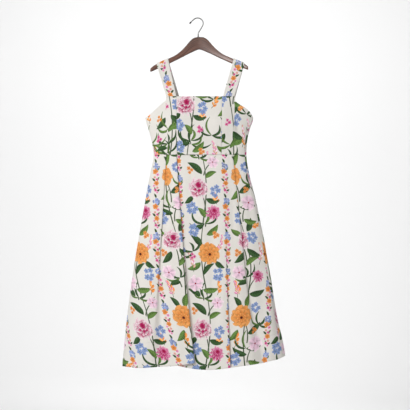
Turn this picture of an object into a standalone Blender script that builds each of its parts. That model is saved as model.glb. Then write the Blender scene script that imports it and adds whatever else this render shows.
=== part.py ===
"""Fit and flare midi dress with wide straps, hung on a contoured wooden hanger.

Metres, +Z up. The origin is the underside of the hook's crown, where a rail carries the hanger.
The dress's front looks along -Y. "Left" and "right" are as seen from the front, at -X and +X.
Cloth is a sheet worked out from the sections and folds below, given its thickness by Solidify.
"""

import math
from bisect import bisect_right
from collections import namedtuple

import bmesh
import bpy
from mathutils import Vector

# Where the hanger and the dress hang from the hook's crown
CENTRE_X = 0.006
DRESS_Y = -0.012

# Cloth and seams
WALL = 0.0012
HEM_WALL = 0.0020
HEM_DEPTH = 0.100
HEM_STEP = 0.005
STRAP_WALL = 0.0024
SEAM_GAP = 0.0003

# Heights
TOP_Z = -0.318
BACK_TOP_Z = -0.322
WAIST_Z = -0.552
UNDERARM_Z = -0.404
UNDERARM_X = 0.216
LEFT_ARMHOLE_BOW = -0.5
RIGHT_ARMHOLE_BOW = 1.6

# Outline and depth of the empty dress from the neckline down, about its own middle plane
Section = namedtuple("Section", "z left right front back")
SECTIONS = (
    Section(-1.400, -0.310, 0.351, 0.082, 0.074),
    Section(-1.336, -0.303, 0.343, 0.078, 0.070),
    Section(-1.208, -0.290, 0.315, 0.071, 0.064),
    Section(-1.048, -0.269, 0.288, 0.063, 0.056),
    Section(-0.888, -0.244, 0.259, 0.055, 0.049),
    Section(-0.728, -0.216, 0.226, 0.045, 0.041),
    Section(-0.628, -0.197, 0.200, 0.037, 0.034),
    Section(-0.552, -0.183, 0.190, 0.032, 0.029),
    Section(-0.500, -0.190, 0.192, 0.036, 0.030),
    Section(-0.452, -0.203, 0.201, 0.041, 0.031),
    Section(-0.404, -0.216, 0.216, 0.038, 0.030),
    Section(-0.360, -0.216, 0.216, 0.030, 0.026),
    Section(-0.318, -0.216, 0.216, 0.024, 0.022),
)
ROUNDING = 0.84

# Pleat folds, from left to right. Facing is +1 where the layer on the left lies on top, and -1 where the
# right one does. Each has its place, the depth tucked under it and its step inwards at the waist, halfway
# and at the hem, and how low the cloth hangs at the fold's edge and at its root. A negative tuck is a fold
# that has opened out.
Fold = namedtuple(
    "Fold",
    "facing waist_x mid_x hem_x waist_tuck mid_tuck hem_tuck waist_step mid_step hem_step edge_hem root_hem",
)
FRONT_FOLDS = (
    Fold(1, -0.132, -0.158, -0.190, 0.023, 0.002, -0.040, 0.0064, 0.012, 0.018, -1.398, -1.396),
    Fold(1, -0.091, -0.060, -0.018, 0.023, 0.034, 0.078, 0.0064, 0.014, 0.022, -1.379, -1.391),
    Fold(1, 0.094, 0.108, 0.124, -0.020, 0.000, 0.014, 0.0005, 0.004, 0.014, -1.398, -1.401),
    Fold(1, 0.134, 0.178, 0.214, 0.022, 0.008, -0.040, 0.0064, 0.012, 0.016, -1.387, -1.382),
)
BACK_FOLDS = (
    Fold(1, -0.132, -0.160, -0.192, 0.023, 0.006, -0.040, 0.0064, 0.012, 0.020, -1.392, -1.390),
    Fold(1, -0.091, -0.094, -0.100, 0.023, 0.014, -0.030, 0.0064, 0.012, 0.020, -1.385, -1.385),
    Fold(-1, 0.091, 0.096, 0.104, 0.023, 0.014, -0.030, 0.0064, 0.012, 0.020, -1.387, -1.386),
    Fold(-1, 0.134, 0.164, 0.196, 0.023, 0.006, -0.040, 0.0064, 0.012, 0.020, -1.380, -1.377),
)
FOLD_RUN = 0.006
FULL_FOLD = 0.012

# The cloth between the folds, from left to right: how far it swells out at the hem, and its hem's height
Stretch = namedtuple("Stretch", "swell hem")
FRONT_STRETCHES = (
    Stretch(0.010, -1.401),
    Stretch(0.004, -1.390),
    Stretch(-0.004, -1.408),
    Stretch(0.004, -1.393),
    Stretch(0.008, -1.374),
)
BACK_STRETCHES = (
    Stretch(0.008, -1.396),
    Stretch(0.000, -1.386),
    Stretch(0.010, -1.390),
    Stretch(0.000, -1.384),
    Stretch(0.008, -1.371),
)
STRETCH_POINTS = 3
LEFT_HEM = -1.400
MIDDLE_HEM = -1.398
RIGHT_HEM = -1.358
RIGHT_FALL = 0.110

# The front panels meet at the princess seams. The side seam on the right rolls to the front.
PRINCESS_TOP_X = 0.0915
PRINCESS_WAIST_X = 0.0890
RIGHT_SEAM = 74.4
BUST_RISE = 0.010
BUST_X = 0.088
BUST_Z = -0.418
BUST_WIDTH = 0.052
BUST_HEIGHT = 0.060

# Straps: how far out each one's edges lie at the front, on the hanger's arm and at the back
Strap = namedtuple("Strap", "name side front_in front_out arm_in arm_out back_in back_out")
STRAPS = (
    Strap("strap_left", -1, 0.0920, 0.1330, 0.1240, 0.1700, 0.0790, 0.1230),
    Strap("strap_right", 1, 0.0950, 0.1410, 0.1370, 0.1800, 0.0960, 0.1440),
)
STRAP_CLEARANCE = 0.0005
STRAP_DROP = 0.016
STRAP_EDGE = 0.0015

# Hanger: the arms' top and bottom edges from the middle out
ArmPoint = namedtuple("ArmPoint", "out top bottom")
ARM = (
    ArmPoint(0.000, -0.0760, -0.1260),
    ArmPoint(0.012, -0.0766, -0.1296),
    ArmPoint(0.024, -0.0806, -0.1348),
    ArmPoint(0.036, -0.0902, -0.1404),
    ArmPoint(0.048, -0.1040, -0.1462),
    ArmPoint(0.062, -0.1200, -0.1534),
    ArmPoint(0.080, -0.1368, -0.1626),
    ArmPoint(0.100, -0.1508, -0.1724),
    ArmPoint(0.120, -0.1604, -0.1822),
    ArmPoint(0.140, -0.1698, -0.1916),
    ArmPoint(0.160, -0.1786, -0.2006),
    ArmPoint(0.176, -0.1862, -0.2074),
    ArmPoint(0.188, -0.1944, -0.2130),
    ArmPoint(0.197, -0.2026, -0.2162),
)
ARM_LEAN = 0.020
ARM_RADIUS = 0.0064
ARM_SIDES = 16
ARM_STEP = 0.004
ARM_SWEEP = 0.026
ARM_SWEEP_POWER = 1.6

# Hook: a wire of this radius, its crown's arc and its stem
WIRE = 0.00225
CROWN = 0.0225
STEM_X = 0.0015
STEM_TOP_Z = -0.060
FERRULE_RADIUS = 0.0032
FERRULE_HEIGHT = 0.0110
TIP_RADIUS = 0.0033
TIP_LENGTH = 0.0100
HOOK_SAMPLES = 3

# Sampling
FOLD_SPANS = (1, 2, 1, 1, 1, 2, 1)
SKIRT_ROWS = 8
BODICE_ROWS = 7
STRAP_COLUMNS = 5


def smooth(rows, key, value, at):
    """The value at a place, on a smooth curve through a table's rows that never overshoots them."""
    rows = sorted(rows, key=lambda row: getattr(row, key))
    places = [getattr(row, key) for row in rows]
    values = [getattr(row, value) for row in rows]
    if at <= places[0]:
        return values[0]
    if at >= places[-1]:
        return values[-1]
    rise = [(b - a) / (q - p) for a, b, p, q in zip(values, values[1:], places, places[1:])]
    slopes = [rise[0]] + [
        0.0 if a * b <= 0 else 2 * a * b / (a + b) for a, b in zip(rise, rise[1:])
    ] + [rise[-1]]
    i = bisect_right(places, at) - 1
    width = places[i + 1] - places[i]
    t = (at - places[i]) / width
    return (
        values[i] * (1 + 2 * t) * (1 - t) ** 2
        + values[i + 1] * t * t * (3 - 2 * t)
        + slopes[i] * width * t * (1 - t) ** 2
        - slopes[i + 1] * width * t * t * (1 - t)
    )


def through_three(first, middle, last, t):
    """A value that runs smoothly through three, at t = 0, 0.5 and 1."""
    return (
        first * (1 - t) * (1 - 2 * t)
        + middle * 4 * t * (1 - t)
        + last * t * (2 * t - 1)
    )


def material(name, colour, roughness, metallic=0.0):
    """A Principled material."""
    made = bpy.data.materials.new(name)
    made.use_nodes = True
    shader = made.node_tree.nodes["Principled BSDF"]
    shader.inputs["Base Color"].default_value = (*colour, 1.0)
    shader.inputs["Roughness"].default_value = roughness
    shader.inputs["Metallic"].default_value = metallic
    return made


def new_object(name, bm, finish, parent):
    """An object made from a bmesh."""
    mesh = bpy.data.meshes.new(name)
    bm.to_mesh(mesh)
    bm.free()
    mesh.materials.append(finish)
    mesh.shade_smooth()
    made = bpy.data.objects.new(name, mesh)
    bpy.context.scene.collection.objects.link(made)
    made.parent = parent
    return made


def sheet(name, columns, rows, place, thickness, finish, parent):
    """A sheet of cloth: a grid whose points stand at place(column, row), thickened both ways."""
    bm = bmesh.new()
    bmesh.ops.create_grid(bm, x_segments=columns, y_segments=rows, size=0.5)
    for vertex in bm.verts:
        column = round((vertex.co.x + 0.5) * columns)
        row = round((0.5 - vertex.co.y) * rows)
        vertex.co = place(column, row)
    made = new_object(name, bm, finish, parent)
    wall = made.modifiers.new("Wall", "SOLIDIFY")
    wall.thickness = thickness
    wall.offset = 0.0
    return made


class Ring:
    """The empty dress's cross-section at one height: an oval, flattened front to back."""

    def __init__(self, left, right, front, back):
        self.middle = (left + right) / 2
        self.half = (right - left) / 2
        self.front = front
        self.back = back

    @classmethod
    def at(cls, z):
        """The ring at a height."""
        return cls(*(smooth(SECTIONS, "z", column, z) for column in ("left", "right", "front", "back")))

    def turn(self, x):
        """The angle from the front's middle, towards the right, at which the front reaches x."""
        return math.asin(max(-1.0, min(1.0, (x - self.middle) / self.half)))

    def point(self, angle):
        """(x, y) at an angle: 0 is the front's middle, 90 degrees the right side, 180 the back's middle."""
        across = math.cos(angle)
        depth = self.front if across >= 0 else self.back
        return (
            self.middle + self.half * math.sin(angle),
            -math.copysign(depth * abs(across) ** ROUNDING, across),
        )

    def tangent(self, angle):
        """The unit direction in which the cloth runs at an angle, as the angle grows."""
        step = 0.002
        before, after = Vector(self.point(angle - step)), Vector(self.point(angle + step))
        return (after - before).normalized().to_3d()


def body_point(angle, z):
    """A point of the bodice's middle surface."""
    x, y = Ring.at(z).point(angle)
    if math.cos(angle) > 0:
        beside = (abs(x) - BUST_X) / BUST_WIDTH
        above = (z - BUST_Z) / BUST_HEIGHT
        y -= BUST_RISE * math.exp(-beside * beside - above * above)
    return Vector((x, y, z))


def seam_point(angle, z, away):
    """The bodice's point half a gap from a seam: away is +1 where the cloth's angle is the larger one."""
    return body_point(angle, z) + Ring.at(z).tangent(angle) * away * SEAM_GAP / 2


def princess_x(z):
    """Half the distance between the princess seams at a height."""
    share = (z - TOP_Z) / (WAIST_Z - TOP_Z)
    return PRINCESS_TOP_X + (PRINCESS_WAIST_X - PRINCESS_TOP_X) * share


def armhole_z(x, strap_outer, top, side):
    """Height of the bodice's top edge, by distance from the middle: level to the strap, then the armhole."""
    if x <= strap_outer:
        return top
    start = top - STRAP_DROP
    share = (x - strap_outer) / (UNDERARM_X - strap_outer)
    bow = RIGHT_ARMHOLE_BOW if side > 0 else LEFT_ARMHOLE_BOW
    fall = share * (0.92 + 0.08 * share - bow * share * share * (1 - share))
    return start + (UNDERARM_Z - start) * fall


def strap_on(side):
    """The strap on the left, where side is negative, or else on the right."""
    return STRAPS[0] if side < 0 else STRAPS[1]


def bodice_centre(finish, parent):
    """The middle front panel, between the princess seams."""
    columns = 12

    def place(column, row):
        z = TOP_Z + (WAIST_Z + SEAM_GAP / 2 - TOP_Z) * row / BODICE_ROWS
        half = princess_x(z) - SEAM_GAP / 2
        x = half * (2 * column / columns - 1)
        return body_point(Ring.at(z).turn(x), z)

    return sheet("bodice_front_centre", columns, BODICE_ROWS, place, WALL, finish, parent)


def bodice_side(name, side, finish, parent):
    """A side front panel, from its princess seam to the side seam, under the strap and the armhole."""
    seam = math.radians(RIGHT_SEAM if side > 0 else -90)
    first, last = PRINCESS_TOP_X, UNDERARM_X * abs(math.sin(seam))
    edge = strap_on(side).front_out
    start = edge + STRAP_EDGE
    tops = [first + (edge - first) * share for share in (0, 0.33, 0.67, 1)]
    tops += [start + (last - start) * share for share in (0, 0.2, 0.42, 0.66, 0.86, 0.97, 0.996, 1)]

    def place(column, row):
        top_z = armhole_z(tops[column], edge, TOP_Z, side)
        z = top_z + (WAIST_Z + SEAM_GAP / 2 - top_z) * row / BODICE_ROWS
        if column == len(tops) - 1:
            return seam_point(seam, z, -side)
        share = (tops[column] - first) / (last - first)
        inner = math.sin(Ring.at(z).turn(side * (princess_x(z) + SEAM_GAP / 2)))
        return body_point(math.asin(inner + (math.sin(seam) - inner) * share), z)

    return sheet(name, len(tops) - 1, BODICE_ROWS, place, WALL, finish, parent)


def bodice_back(finish, parent):
    """The back panel, from the right side seam round to the left one."""
    half = UNDERARM_X
    angles = [math.radians(degrees) for degrees in (RIGHT_SEAM, 82, 90)]
    for side in (1, -1):
        edge = strap_on(side).back_out
        shares = [0.9975, 0.98, 0.93, 0.82, (edge + STRAP_EDGE) / half, edge / half, 0.49, 0.30, 0.10]
        turns = [math.pi - side * math.asin(share) for share in shares]
        angles += turns if side > 0 else turns[::-1]
    angles.append(1.5 * math.pi)

    def place(column, row):
        angle = angles[column]
        edge = strap_on(math.sin(angle)).back_out
        top_z = armhole_z(abs(half * math.sin(angle)), edge + 1e-6, BACK_TOP_Z, math.sin(angle))
        z = top_z + (WAIST_Z + SEAM_GAP / 2 - top_z) * row / BODICE_ROWS
        if column in (0, len(angles) - 1):
            return seam_point(angle, z, 1 if column == 0 else -1)
        return body_point(angle, z)

    return sheet("bodice_back", len(angles) - 1, BODICE_ROWS, place, WALL, finish, parent)


def fold_points(fold, height, cloth_at):
    """Control points of one pleat fold, left to right. cloth_at(x, step, hem) is the cloth's point there."""
    x = through_three(fold.waist_x, fold.mid_x, fold.hem_x, height)
    tuck = through_three(fold.waist_tuck, fold.mid_tuck, fold.hem_tuck, height)
    step = through_three(fold.waist_step, fold.mid_step, fold.hem_step, height)
    edge, root = x, x - fold.facing * tuck
    folded = max(0.0, min(1.0, tuck / FULL_FOLD))
    top = cloth_at(edge, 0.0, fold.edge_hem)
    bottom = cloth_at(root, step, fold.root_hem)
    turned_edge = top.lerp(bottom, 1 / 3).lerp(cloth_at(edge, step / 2, fold.edge_hem), folded)
    turned_root = top.lerp(bottom, 2 / 3).lerp(cloth_at(root, step / 2, fold.root_hem), folded)
    points = [
        cloth_at(edge - fold.facing * FOLD_RUN, 0.0, fold.edge_hem),
        top,
        turned_edge,
        turned_edge.lerp(turned_root, 0.3),
        turned_edge.lerp(turned_root, 0.7),
        turned_root,
        bottom,
        cloth_at(root + fold.facing * FOLD_RUN, step, fold.root_hem),
    ]
    return points if fold.facing > 0 else points[::-1], step


def skirt_path(height, folds, stretches, out):
    """Control points of the skirt's front (out = -1) or back (out = 1), at a height from 0 at the waist to 1.

    Each is (x, y, how low the hem hangs under it).
    """
    left_z, right_z, middle_z = (
        WAIST_Z + (hem - WAIST_Z) * height for hem in (LEFT_HEM, RIGHT_HEM, MIDDLE_HEM)
    )
    ring = Ring(
        smooth(SECTIONS, "z", "left", left_z),
        smooth(SECTIONS, "z", "right", right_z),
        smooth(SECTIONS, "z", "front", middle_z),
        smooth(SECTIONS, "z", "back", middle_z),
    )
    depth = ring.front if out < 0 else ring.back

    def cloth_at(x, step, hem):
        across = math.cos(ring.turn(x))
        return Vector((x, out * (depth * across**ROUNDING - step * across**0.5), hem))

    def around(degrees, front=out < 0):
        angle = math.radians(degrees)
        hem = LEFT_HEM if degrees < 0 else RIGHT_HEM - RIGHT_FALL * (1 - math.sin(angle))
        return Vector((*ring.point(angle if front else math.pi - angle), hem))

    groups = []
    leaves = []
    enters = [0.0]
    for fold in folds:
        points, step = fold_points(fold, height, cloth_at)
        groups.append(points)
        enters.append(step if fold.facing > 0 else 0.0)
        leaves.append(step if fold.facing < 0 else 0.0)
    leaves.append(0.0)
    starts = [around(-62)] + [group[-1] for group in groups]
    ends = [group[0] for group in groups] + [around(62)]
    path = [around(degrees) for degrees in (-90, -88, -83, -73, -62)]
    for i, (start, end, stretch) in enumerate(zip(starts, ends, stretches)):
        for k in range(1, STRETCH_POINTS + 1):
            share = k / (STRETCH_POINTS + 1)
            level = enters[i] + (leaves[i] - enters[i]) * share
            swell = stretch.swell * height * math.sin(math.pi * share)
            hem = through_three(start.z, stretch.hem, end.z, share)
            path.append(cloth_at(start.x + (end.x - start.x) * share, level - swell, hem))
        path += groups[i] if i < len(groups) else [end]
    if out < 0:
        turns = (68, RIGHT_SEAM - 2, RIGHT_SEAM)
        path += [around(degrees) for degrees in turns]
    else:
        path += [around(degrees) for degrees in (73, 83, 88, 90)]
        path += [around(degrees, True) for degrees in (83, RIGHT_SEAM + 2, RIGHT_SEAM)]
    return inset_ends(path, SEAM_GAP / 2)


def skirt_columns():
    """Where the sheet's columns lie, in control points from the left seam: closer together in the folds."""
    spans = [1] * (4 + STRETCH_POINTS + 1)
    for _ in FRONT_FOLDS:
        spans += [*FOLD_SPANS] + [1] * (STRETCH_POINTS + 1)
    places = [0.0]
    for i, parts in enumerate(spans):
        places += [i + (k + 1) / parts for k in range(parts)]
    return places


def inset_ends(path, gap):
    """Moves a path's two ends in along it by half a seam's gap."""
    for end, beside in ((0, 1), (-1, -2)):
        path[end] = path[end] + (path[beside] - path[end]).normalized() * gap
    return path


def along(path, place):
    """A point on the cubic B-spline that the control points guide, place counting from 0 at the first one."""
    points = [2 * path[0] - path[1], *path, 2 * path[-1] - path[-2]]
    i = min(int(place), len(path) - 2)
    f = place - i
    weights = (
        (1 - f) ** 3 / 6,
        (3 * f**3 - 6 * f * f + 4) / 6,
        (-3 * f**3 + 3 * f * f + 3 * f + 1) / 6,
        f**3 / 6,
    )
    return sum((w * p for w, p in zip(weights, points[i : i + 4])), Vector((0.0,) * len(path[0])))


def skirt(name, folds, stretches, out, finish, parent):
    """The skirt's front or back: pleated under the waist seam, and opening into folds at the hem."""
    hem_top = 1 - HEM_DEPTH / (WAIST_Z - MIDDLE_HEM)
    heights = [hem_top * (row / SKIRT_ROWS) ** 1.1 for row in range(SKIRT_ROWS + 1)]
    heights += [hem_top + HEM_STEP, 1.0]
    paths = [skirt_path(height, folds, stretches, out) for height in heights]
    columns = skirt_columns()
    columns += range(int(columns[-1]) + 1, len(paths[0]))
    top_z = WAIST_Z - SEAM_GAP / 2

    def place(column, row):
        x, y, hem = along(paths[row], columns[column])
        return Vector((x, y, top_z + (hem - top_z) * heights[row]))

    made = sheet(name, len(columns) - 1, len(heights) - 1, place, HEM_WALL, finish, parent)
    group = made.vertex_groups.new(name="Single cloth")
    in_row = len(columns)
    hem_rows = 2 * in_row
    for vertex in made.data.vertices:
        group.add([vertex.index], 1.0 if vertex.index < hem_rows else WALL / HEM_WALL, "REPLACE")
    made.modifiers["Wall"].vertex_group = group.name
    return made


def arm_y(out):
    """Where the hanger's arm has swept to at a distance from the middle, as a y in the dress's frame."""
    return -ARM_SWEEP * (out / ARM[-1].out) ** ARM_SWEEP_POWER - DRESS_Y


def arm_top(x):
    """Height of the arm's top at a distance to the right of the middle."""
    return smooth(ARM, "out", "top", abs(x)) + ARM_LEAN * x


def arm_bottom(x):
    """Height of the arm's underside at a distance to the right of the middle."""
    return smooth(ARM, "out", "bottom", abs(x)) + ARM_LEAN * x


def strap(row, finish, parent):
    """A strap, from the front's top edge over the hanger's arm to the back's."""
    climb = [0.0, 0.25, 0.5, 0.75, 0.92]
    wrap = [math.pi * share / 8 for share in range(9)]
    stand_off = STRAP_CLEARANCE + STRAP_WALL / 2

    def base(share, inner, outer, z, front):
        turn = Ring.at(z).turn(row.side * (inner + (outer - inner) * share))
        return body_point(turn if front else math.pi - turn, z) + Vector((0.0, 0.0, SEAM_GAP))

    def over_arm(share, angle):
        out = row.arm_in + (row.arm_out - row.arm_in) * share
        top = arm_top(row.side * out)
        fall = (top - arm_top(row.side * (out + ARM_STEP))) / ARM_STEP
        round_edge = Vector((0.0, -math.cos(angle), math.sin(angle)))
        outward = round_edge + Vector((row.side * fall * math.sin(angle), 0.0, 0.0))
        middle = Vector((row.side * out, arm_y(out), top - ARM_RADIUS))
        return middle + ARM_RADIUS * round_edge + stand_off * outward.normalized()

    def place(column, line):
        share = column / STRAP_COLUMNS
        if line < len(climb):
            foot = base(share, row.front_in, row.front_out, TOP_Z, True)
            return foot.lerp(over_arm(share, 0.0), climb[line])
        line -= len(climb)
        if line < len(wrap):
            return over_arm(share, wrap[line])
        line -= len(wrap)
        foot = base(share, row.back_in, row.back_out, BACK_TOP_Z, False)
        return foot.lerp(over_arm(share, math.pi), climb[-1 - line])

    lines = 2 * len(climb) + len(wrap) - 1
    return sheet(row.name, STRAP_COLUMNS, lines, place, STRAP_WALL, finish, parent)


def hanger_arms(finish, parent):
    """The wooden hanger: one bar with a rounded edge, thick in the middle, whose arms sweep forwards."""
    bm = bmesh.new()
    stations = [-point.out for point in reversed(ARM)] + [point.out for point in ARM[1:]]
    loops = []
    for x in stations:
        out = abs(x)
        top, bottom = arm_top(x), arm_bottom(x)
        radius = min(ARM_RADIUS, (top - bottom) / 2)
        made = bmesh.ops.create_circle(bm, segments=ARM_SIDES, radius=radius)
        for vertex in made["verts"]:
            height = vertex.co.y
            middle = top - radius if height > 0 else bottom + radius
            vertex.co = Vector((x, arm_y(out) + vertex.co.x, middle + height))
        loops.append(made["verts"])
    rings = [list({edge for vertex in loop for edge in vertex.link_edges}) for loop in loops]
    for first, second in zip(rings, rings[1:]):
        bmesh.ops.bridge_loops(bm, edges=first + second)
    bmesh.ops.edgeloop_fill(bm, edges=rings[0])
    bmesh.ops.edgeloop_fill(bm, edges=rings[-1])
    bmesh.ops.recalc_face_normals(bm, faces=bm.faces)
    return new_object("hanger_arms", bm, finish, parent)


def hook_route():
    """The wire's centreline, from the ferrule up the stem, round the crown and down to the tip."""
    stem_foot = ARM[0].top + FERRULE_HEIGHT + 2 * SEAM_GAP
    stem = [(STEM_X, stem_foot), (STEM_X, STEM_TOP_Z), (STEM_X + 0.005, -0.052)]
    middle = Vector((0.0, WIRE - CROWN))
    arc = [
        middle + CROWN * Vector((math.cos(math.radians(turn)), math.sin(math.radians(turn))))
        for turn in (-28, 0, 28, 56, 90, 120, 145)
    ]
    tip = [(-0.0232, -0.0116), (-0.0262, -0.0148)]
    path = [Vector(point) for point in stem] + arc + [Vector(point) for point in tip]
    return [along(path, k / HOOK_SAMPLES) for k in range((len(path) - 1) * HOOK_SAMPLES + 1)]


def hook(finish, parent):
    """The bent wire."""
    data = bpy.data.curves.new("hanger_hook", "CURVE")
    data.dimensions = "3D"
    data.bevel_depth = WIRE
    data.bevel_resolution = 2
    data.use_fill_caps = True
    data.materials.append(finish)
    route = hook_route()
    spline = data.splines.new("POLY")
    spline.points.add(len(route) - 1)
    for point, (x, z) in zip(spline.points, route):
        point.co = (x, 0.0, z, 1.0)
    made = bpy.data.objects.new("hanger_hook", data)
    bpy.context.scene.collection.objects.link(made)
    made.parent = parent
    return made


def hook_tip(finish, parent):
    """The rounded cap on the wire's end."""
    route = hook_route()
    ahead = (route[-1] - route[-2]).normalized()
    bm = bmesh.new()
    bmesh.ops.create_cone(
        bm, cap_ends=True, segments=12, radius1=TIP_RADIUS, radius2=TIP_RADIUS * 0.8, depth=TIP_LENGTH
    )
    rims = [edge for edge in bm.edges if len({round(vertex.co.z, 6) for vertex in edge.verts}) == 1]
    bmesh.ops.bevel(
        bm, geom=rims, offset=TIP_RADIUS * 0.4, segments=2, profile=0.5, affect="EDGES", material=-1
    )
    made = new_object("hanger_hook_tip", bm, finish, parent)
    end = route[-1] + ahead * (SEAM_GAP + TIP_LENGTH / 2)
    made.location = (end.x, 0.0, end.y)
    made.rotation_euler = (0.0, math.atan2(ahead.x, ahead.y), 0.0)
    return made


def ferrule(finish, parent):
    """The small metal cap that the wire's stem stands in, on the wood."""
    bm = bmesh.new()
    foot, top = FERRULE_RADIUS, FERRULE_RADIUS * 0.75
    bmesh.ops.create_cone(
        bm, cap_ends=True, segments=16, radius1=foot, radius2=top, depth=FERRULE_HEIGHT
    )
    made = new_object("hanger_ferrule", bm, finish, parent)
    made.location = (STEM_X, 0.0, ARM[0].top + SEAM_GAP + FERRULE_HEIGHT / 2)
    return made


def main():
    for old in list(bpy.data.objects):
        bpy.data.objects.remove(old)

    cloth = material("printed_cloth", (0.86, 0.83, 0.78), 0.85)
    wood = material("stained_wood", (0.20, 0.09, 0.06), 0.45)
    metal = material("brushed_metal", (0.55, 0.55, 0.54), 0.30, 1.0)
    tip = material("tip_cap", (0.12, 0.12, 0.12), 0.50)

    carrier = bpy.data.objects.new("carrier", None)
    bpy.context.scene.collection.objects.link(carrier)
    dress = bpy.data.objects.new("dress_frame", None)
    bpy.context.scene.collection.objects.link(dress)
    dress.parent = carrier
    dress.location = (CENTRE_X, DRESS_Y, 0.0)

    bodice_centre(cloth, dress)
    bodice_side("bodice_front_left", -1, cloth, dress)
    bodice_side("bodice_front_right", 1, cloth, dress)
    bodice_back(cloth, dress)
    skirt("skirt_front", FRONT_FOLDS, FRONT_STRETCHES, -1, cloth, dress)
    skirt("skirt_back", BACK_FOLDS, BACK_STRETCHES, 1, cloth, dress)
    for row in STRAPS:
        strap(row, cloth, dress)
    hanger_arms(wood, dress)
    ferrule(metal, carrier)
    hook(metal, carrier)
    hook_tip(tip, carrier)


main()
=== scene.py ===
"""Looks of a fit and flare dress with a climbing-flower print, hung on a contoured wooden hanger.

Metres, +Z up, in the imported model's frame: the origin is the underside of the hook's crown and the
dress's front looks along -Y. "Left" and "right" are as seen from the front. The cloth pieces repeat the
sections and folds of the part's source, sampled more finely, and carry their print as face attributes.
"""

import logging
import math
import random
from bisect import bisect_right
from collections import namedtuple
from dataclasses import dataclass, field, replace
from enum import Enum
from itertools import product
from typing import Callable, Iterable, Sequence

import bmesh
import bpy
import numpy as np
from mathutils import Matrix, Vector


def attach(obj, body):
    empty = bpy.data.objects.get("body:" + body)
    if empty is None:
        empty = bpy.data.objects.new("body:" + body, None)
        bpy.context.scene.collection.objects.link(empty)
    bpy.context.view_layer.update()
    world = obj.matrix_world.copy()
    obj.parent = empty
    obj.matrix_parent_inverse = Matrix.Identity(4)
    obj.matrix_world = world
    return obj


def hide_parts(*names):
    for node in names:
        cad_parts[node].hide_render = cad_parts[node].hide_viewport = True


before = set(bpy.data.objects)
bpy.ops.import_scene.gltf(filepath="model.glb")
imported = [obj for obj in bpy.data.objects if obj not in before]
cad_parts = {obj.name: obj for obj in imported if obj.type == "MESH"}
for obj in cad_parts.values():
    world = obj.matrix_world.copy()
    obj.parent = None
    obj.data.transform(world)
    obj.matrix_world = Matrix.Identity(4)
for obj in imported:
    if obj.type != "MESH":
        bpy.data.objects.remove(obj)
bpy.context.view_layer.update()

log = logging.getLogger("dress")

Socket = bpy.types.NodeSocket
Colour = tuple[float, float, float]

# Where the hanger and the dress hang from the hook's crown
CENTRE_X = 0.006
DRESS_Y = -0.012

# Cloth and seams: the gap in a seam, the turned-up hem, how far stitches stand from an edge, the widest
# cell of a cloth's grid, the closer rows beside a seam, and the skirt's path point where the print starts
SEAM_GAP = 0.0003
HEM_DEPTH = 0.100
STITCH_AT = 0.0042
CELL = 0.0046
BESIDE_SEAM = (0.0014, 0.0032)
SKIRT_MIDDLE = 28

# Heights, and the armholes: how far out they end and how far each one bows
TOP_Z = -0.318
BACK_TOP_Z = -0.322
WAIST_Z = -0.552
UNDERARM_Z = -0.404
UNDERARM_X = 0.216
LEFT_ARMHOLE_BOW = -0.5
RIGHT_ARMHOLE_BOW = 1.6


def table(kind: Callable, *rows: Sequence) -> tuple:
    """The rows of a table, each made of its kind."""
    return tuple(kind(*row) for row in rows)


# Outline and depth of the empty dress from the neckline down, about its own middle plane
Section = namedtuple("Section", "z left right front back")
SECTIONS = table(
    Section,
    (-1.400, -0.310, 0.351, 0.082, 0.074),
    (-1.336, -0.303, 0.343, 0.078, 0.070),
    (-1.208, -0.290, 0.315, 0.071, 0.064),
    (-1.048, -0.269, 0.288, 0.063, 0.056),
    (-0.888, -0.244, 0.259, 0.055, 0.049),
    (-0.728, -0.216, 0.226, 0.045, 0.041),
    (-0.628, -0.197, 0.200, 0.037, 0.034),
    (-0.552, -0.183, 0.190, 0.032, 0.029),
    (-0.500, -0.190, 0.192, 0.036, 0.030),
    (-0.452, -0.203, 0.201, 0.041, 0.031),
    (-0.404, -0.216, 0.216, 0.038, 0.030),
    (-0.360, -0.216, 0.216, 0.030, 0.026),
    (-0.318, -0.216, 0.216, 0.024, 0.022),
)
ROUNDING = 0.84

# Pleat folds, from left to right. Facing is +1 where the layer on the left lies on top, and -1 where the
# right one does. A negative tuck is a fold that has opened out.
Fold = namedtuple(
    "Fold",
    "facing waist_x mid_x hem_x waist_tuck mid_tuck hem_tuck waist_step mid_step hem_step edge_hem root_hem",
)
FRONT_FOLDS = table(
    Fold,
    (1, -0.132, -0.158, -0.190, 0.023, 0.002, -0.040, 0.0064, 0.012, 0.018, -1.398, -1.396),
    (1, -0.091, -0.060, -0.018, 0.023, 0.034, 0.078, 0.0064, 0.014, 0.022, -1.379, -1.391),
    (1, 0.094, 0.108, 0.124, -0.020, 0.000, 0.014, 0.0005, 0.004, 0.014, -1.398, -1.401),
    (1, 0.134, 0.178, 0.214, 0.022, 0.008, -0.040, 0.0064, 0.012, 0.016, -1.387, -1.382),
)
BACK_FOLDS = table(
    Fold,
    (1, -0.132, -0.160, -0.192, 0.023, 0.006, -0.040, 0.0064, 0.012, 0.020, -1.392, -1.390),
    (1, -0.091, -0.094, -0.100, 0.023, 0.014, -0.030, 0.0064, 0.012, 0.020, -1.385, -1.385),
    (-1, 0.091, 0.096, 0.104, 0.023, 0.014, -0.030, 0.0064, 0.012, 0.020, -1.387, -1.386),
    (-1, 0.134, 0.164, 0.196, 0.023, 0.006, -0.040, 0.0064, 0.012, 0.020, -1.380, -1.377),
)
FOLD_RUN = 0.006
FULL_FOLD = 0.012

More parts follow.
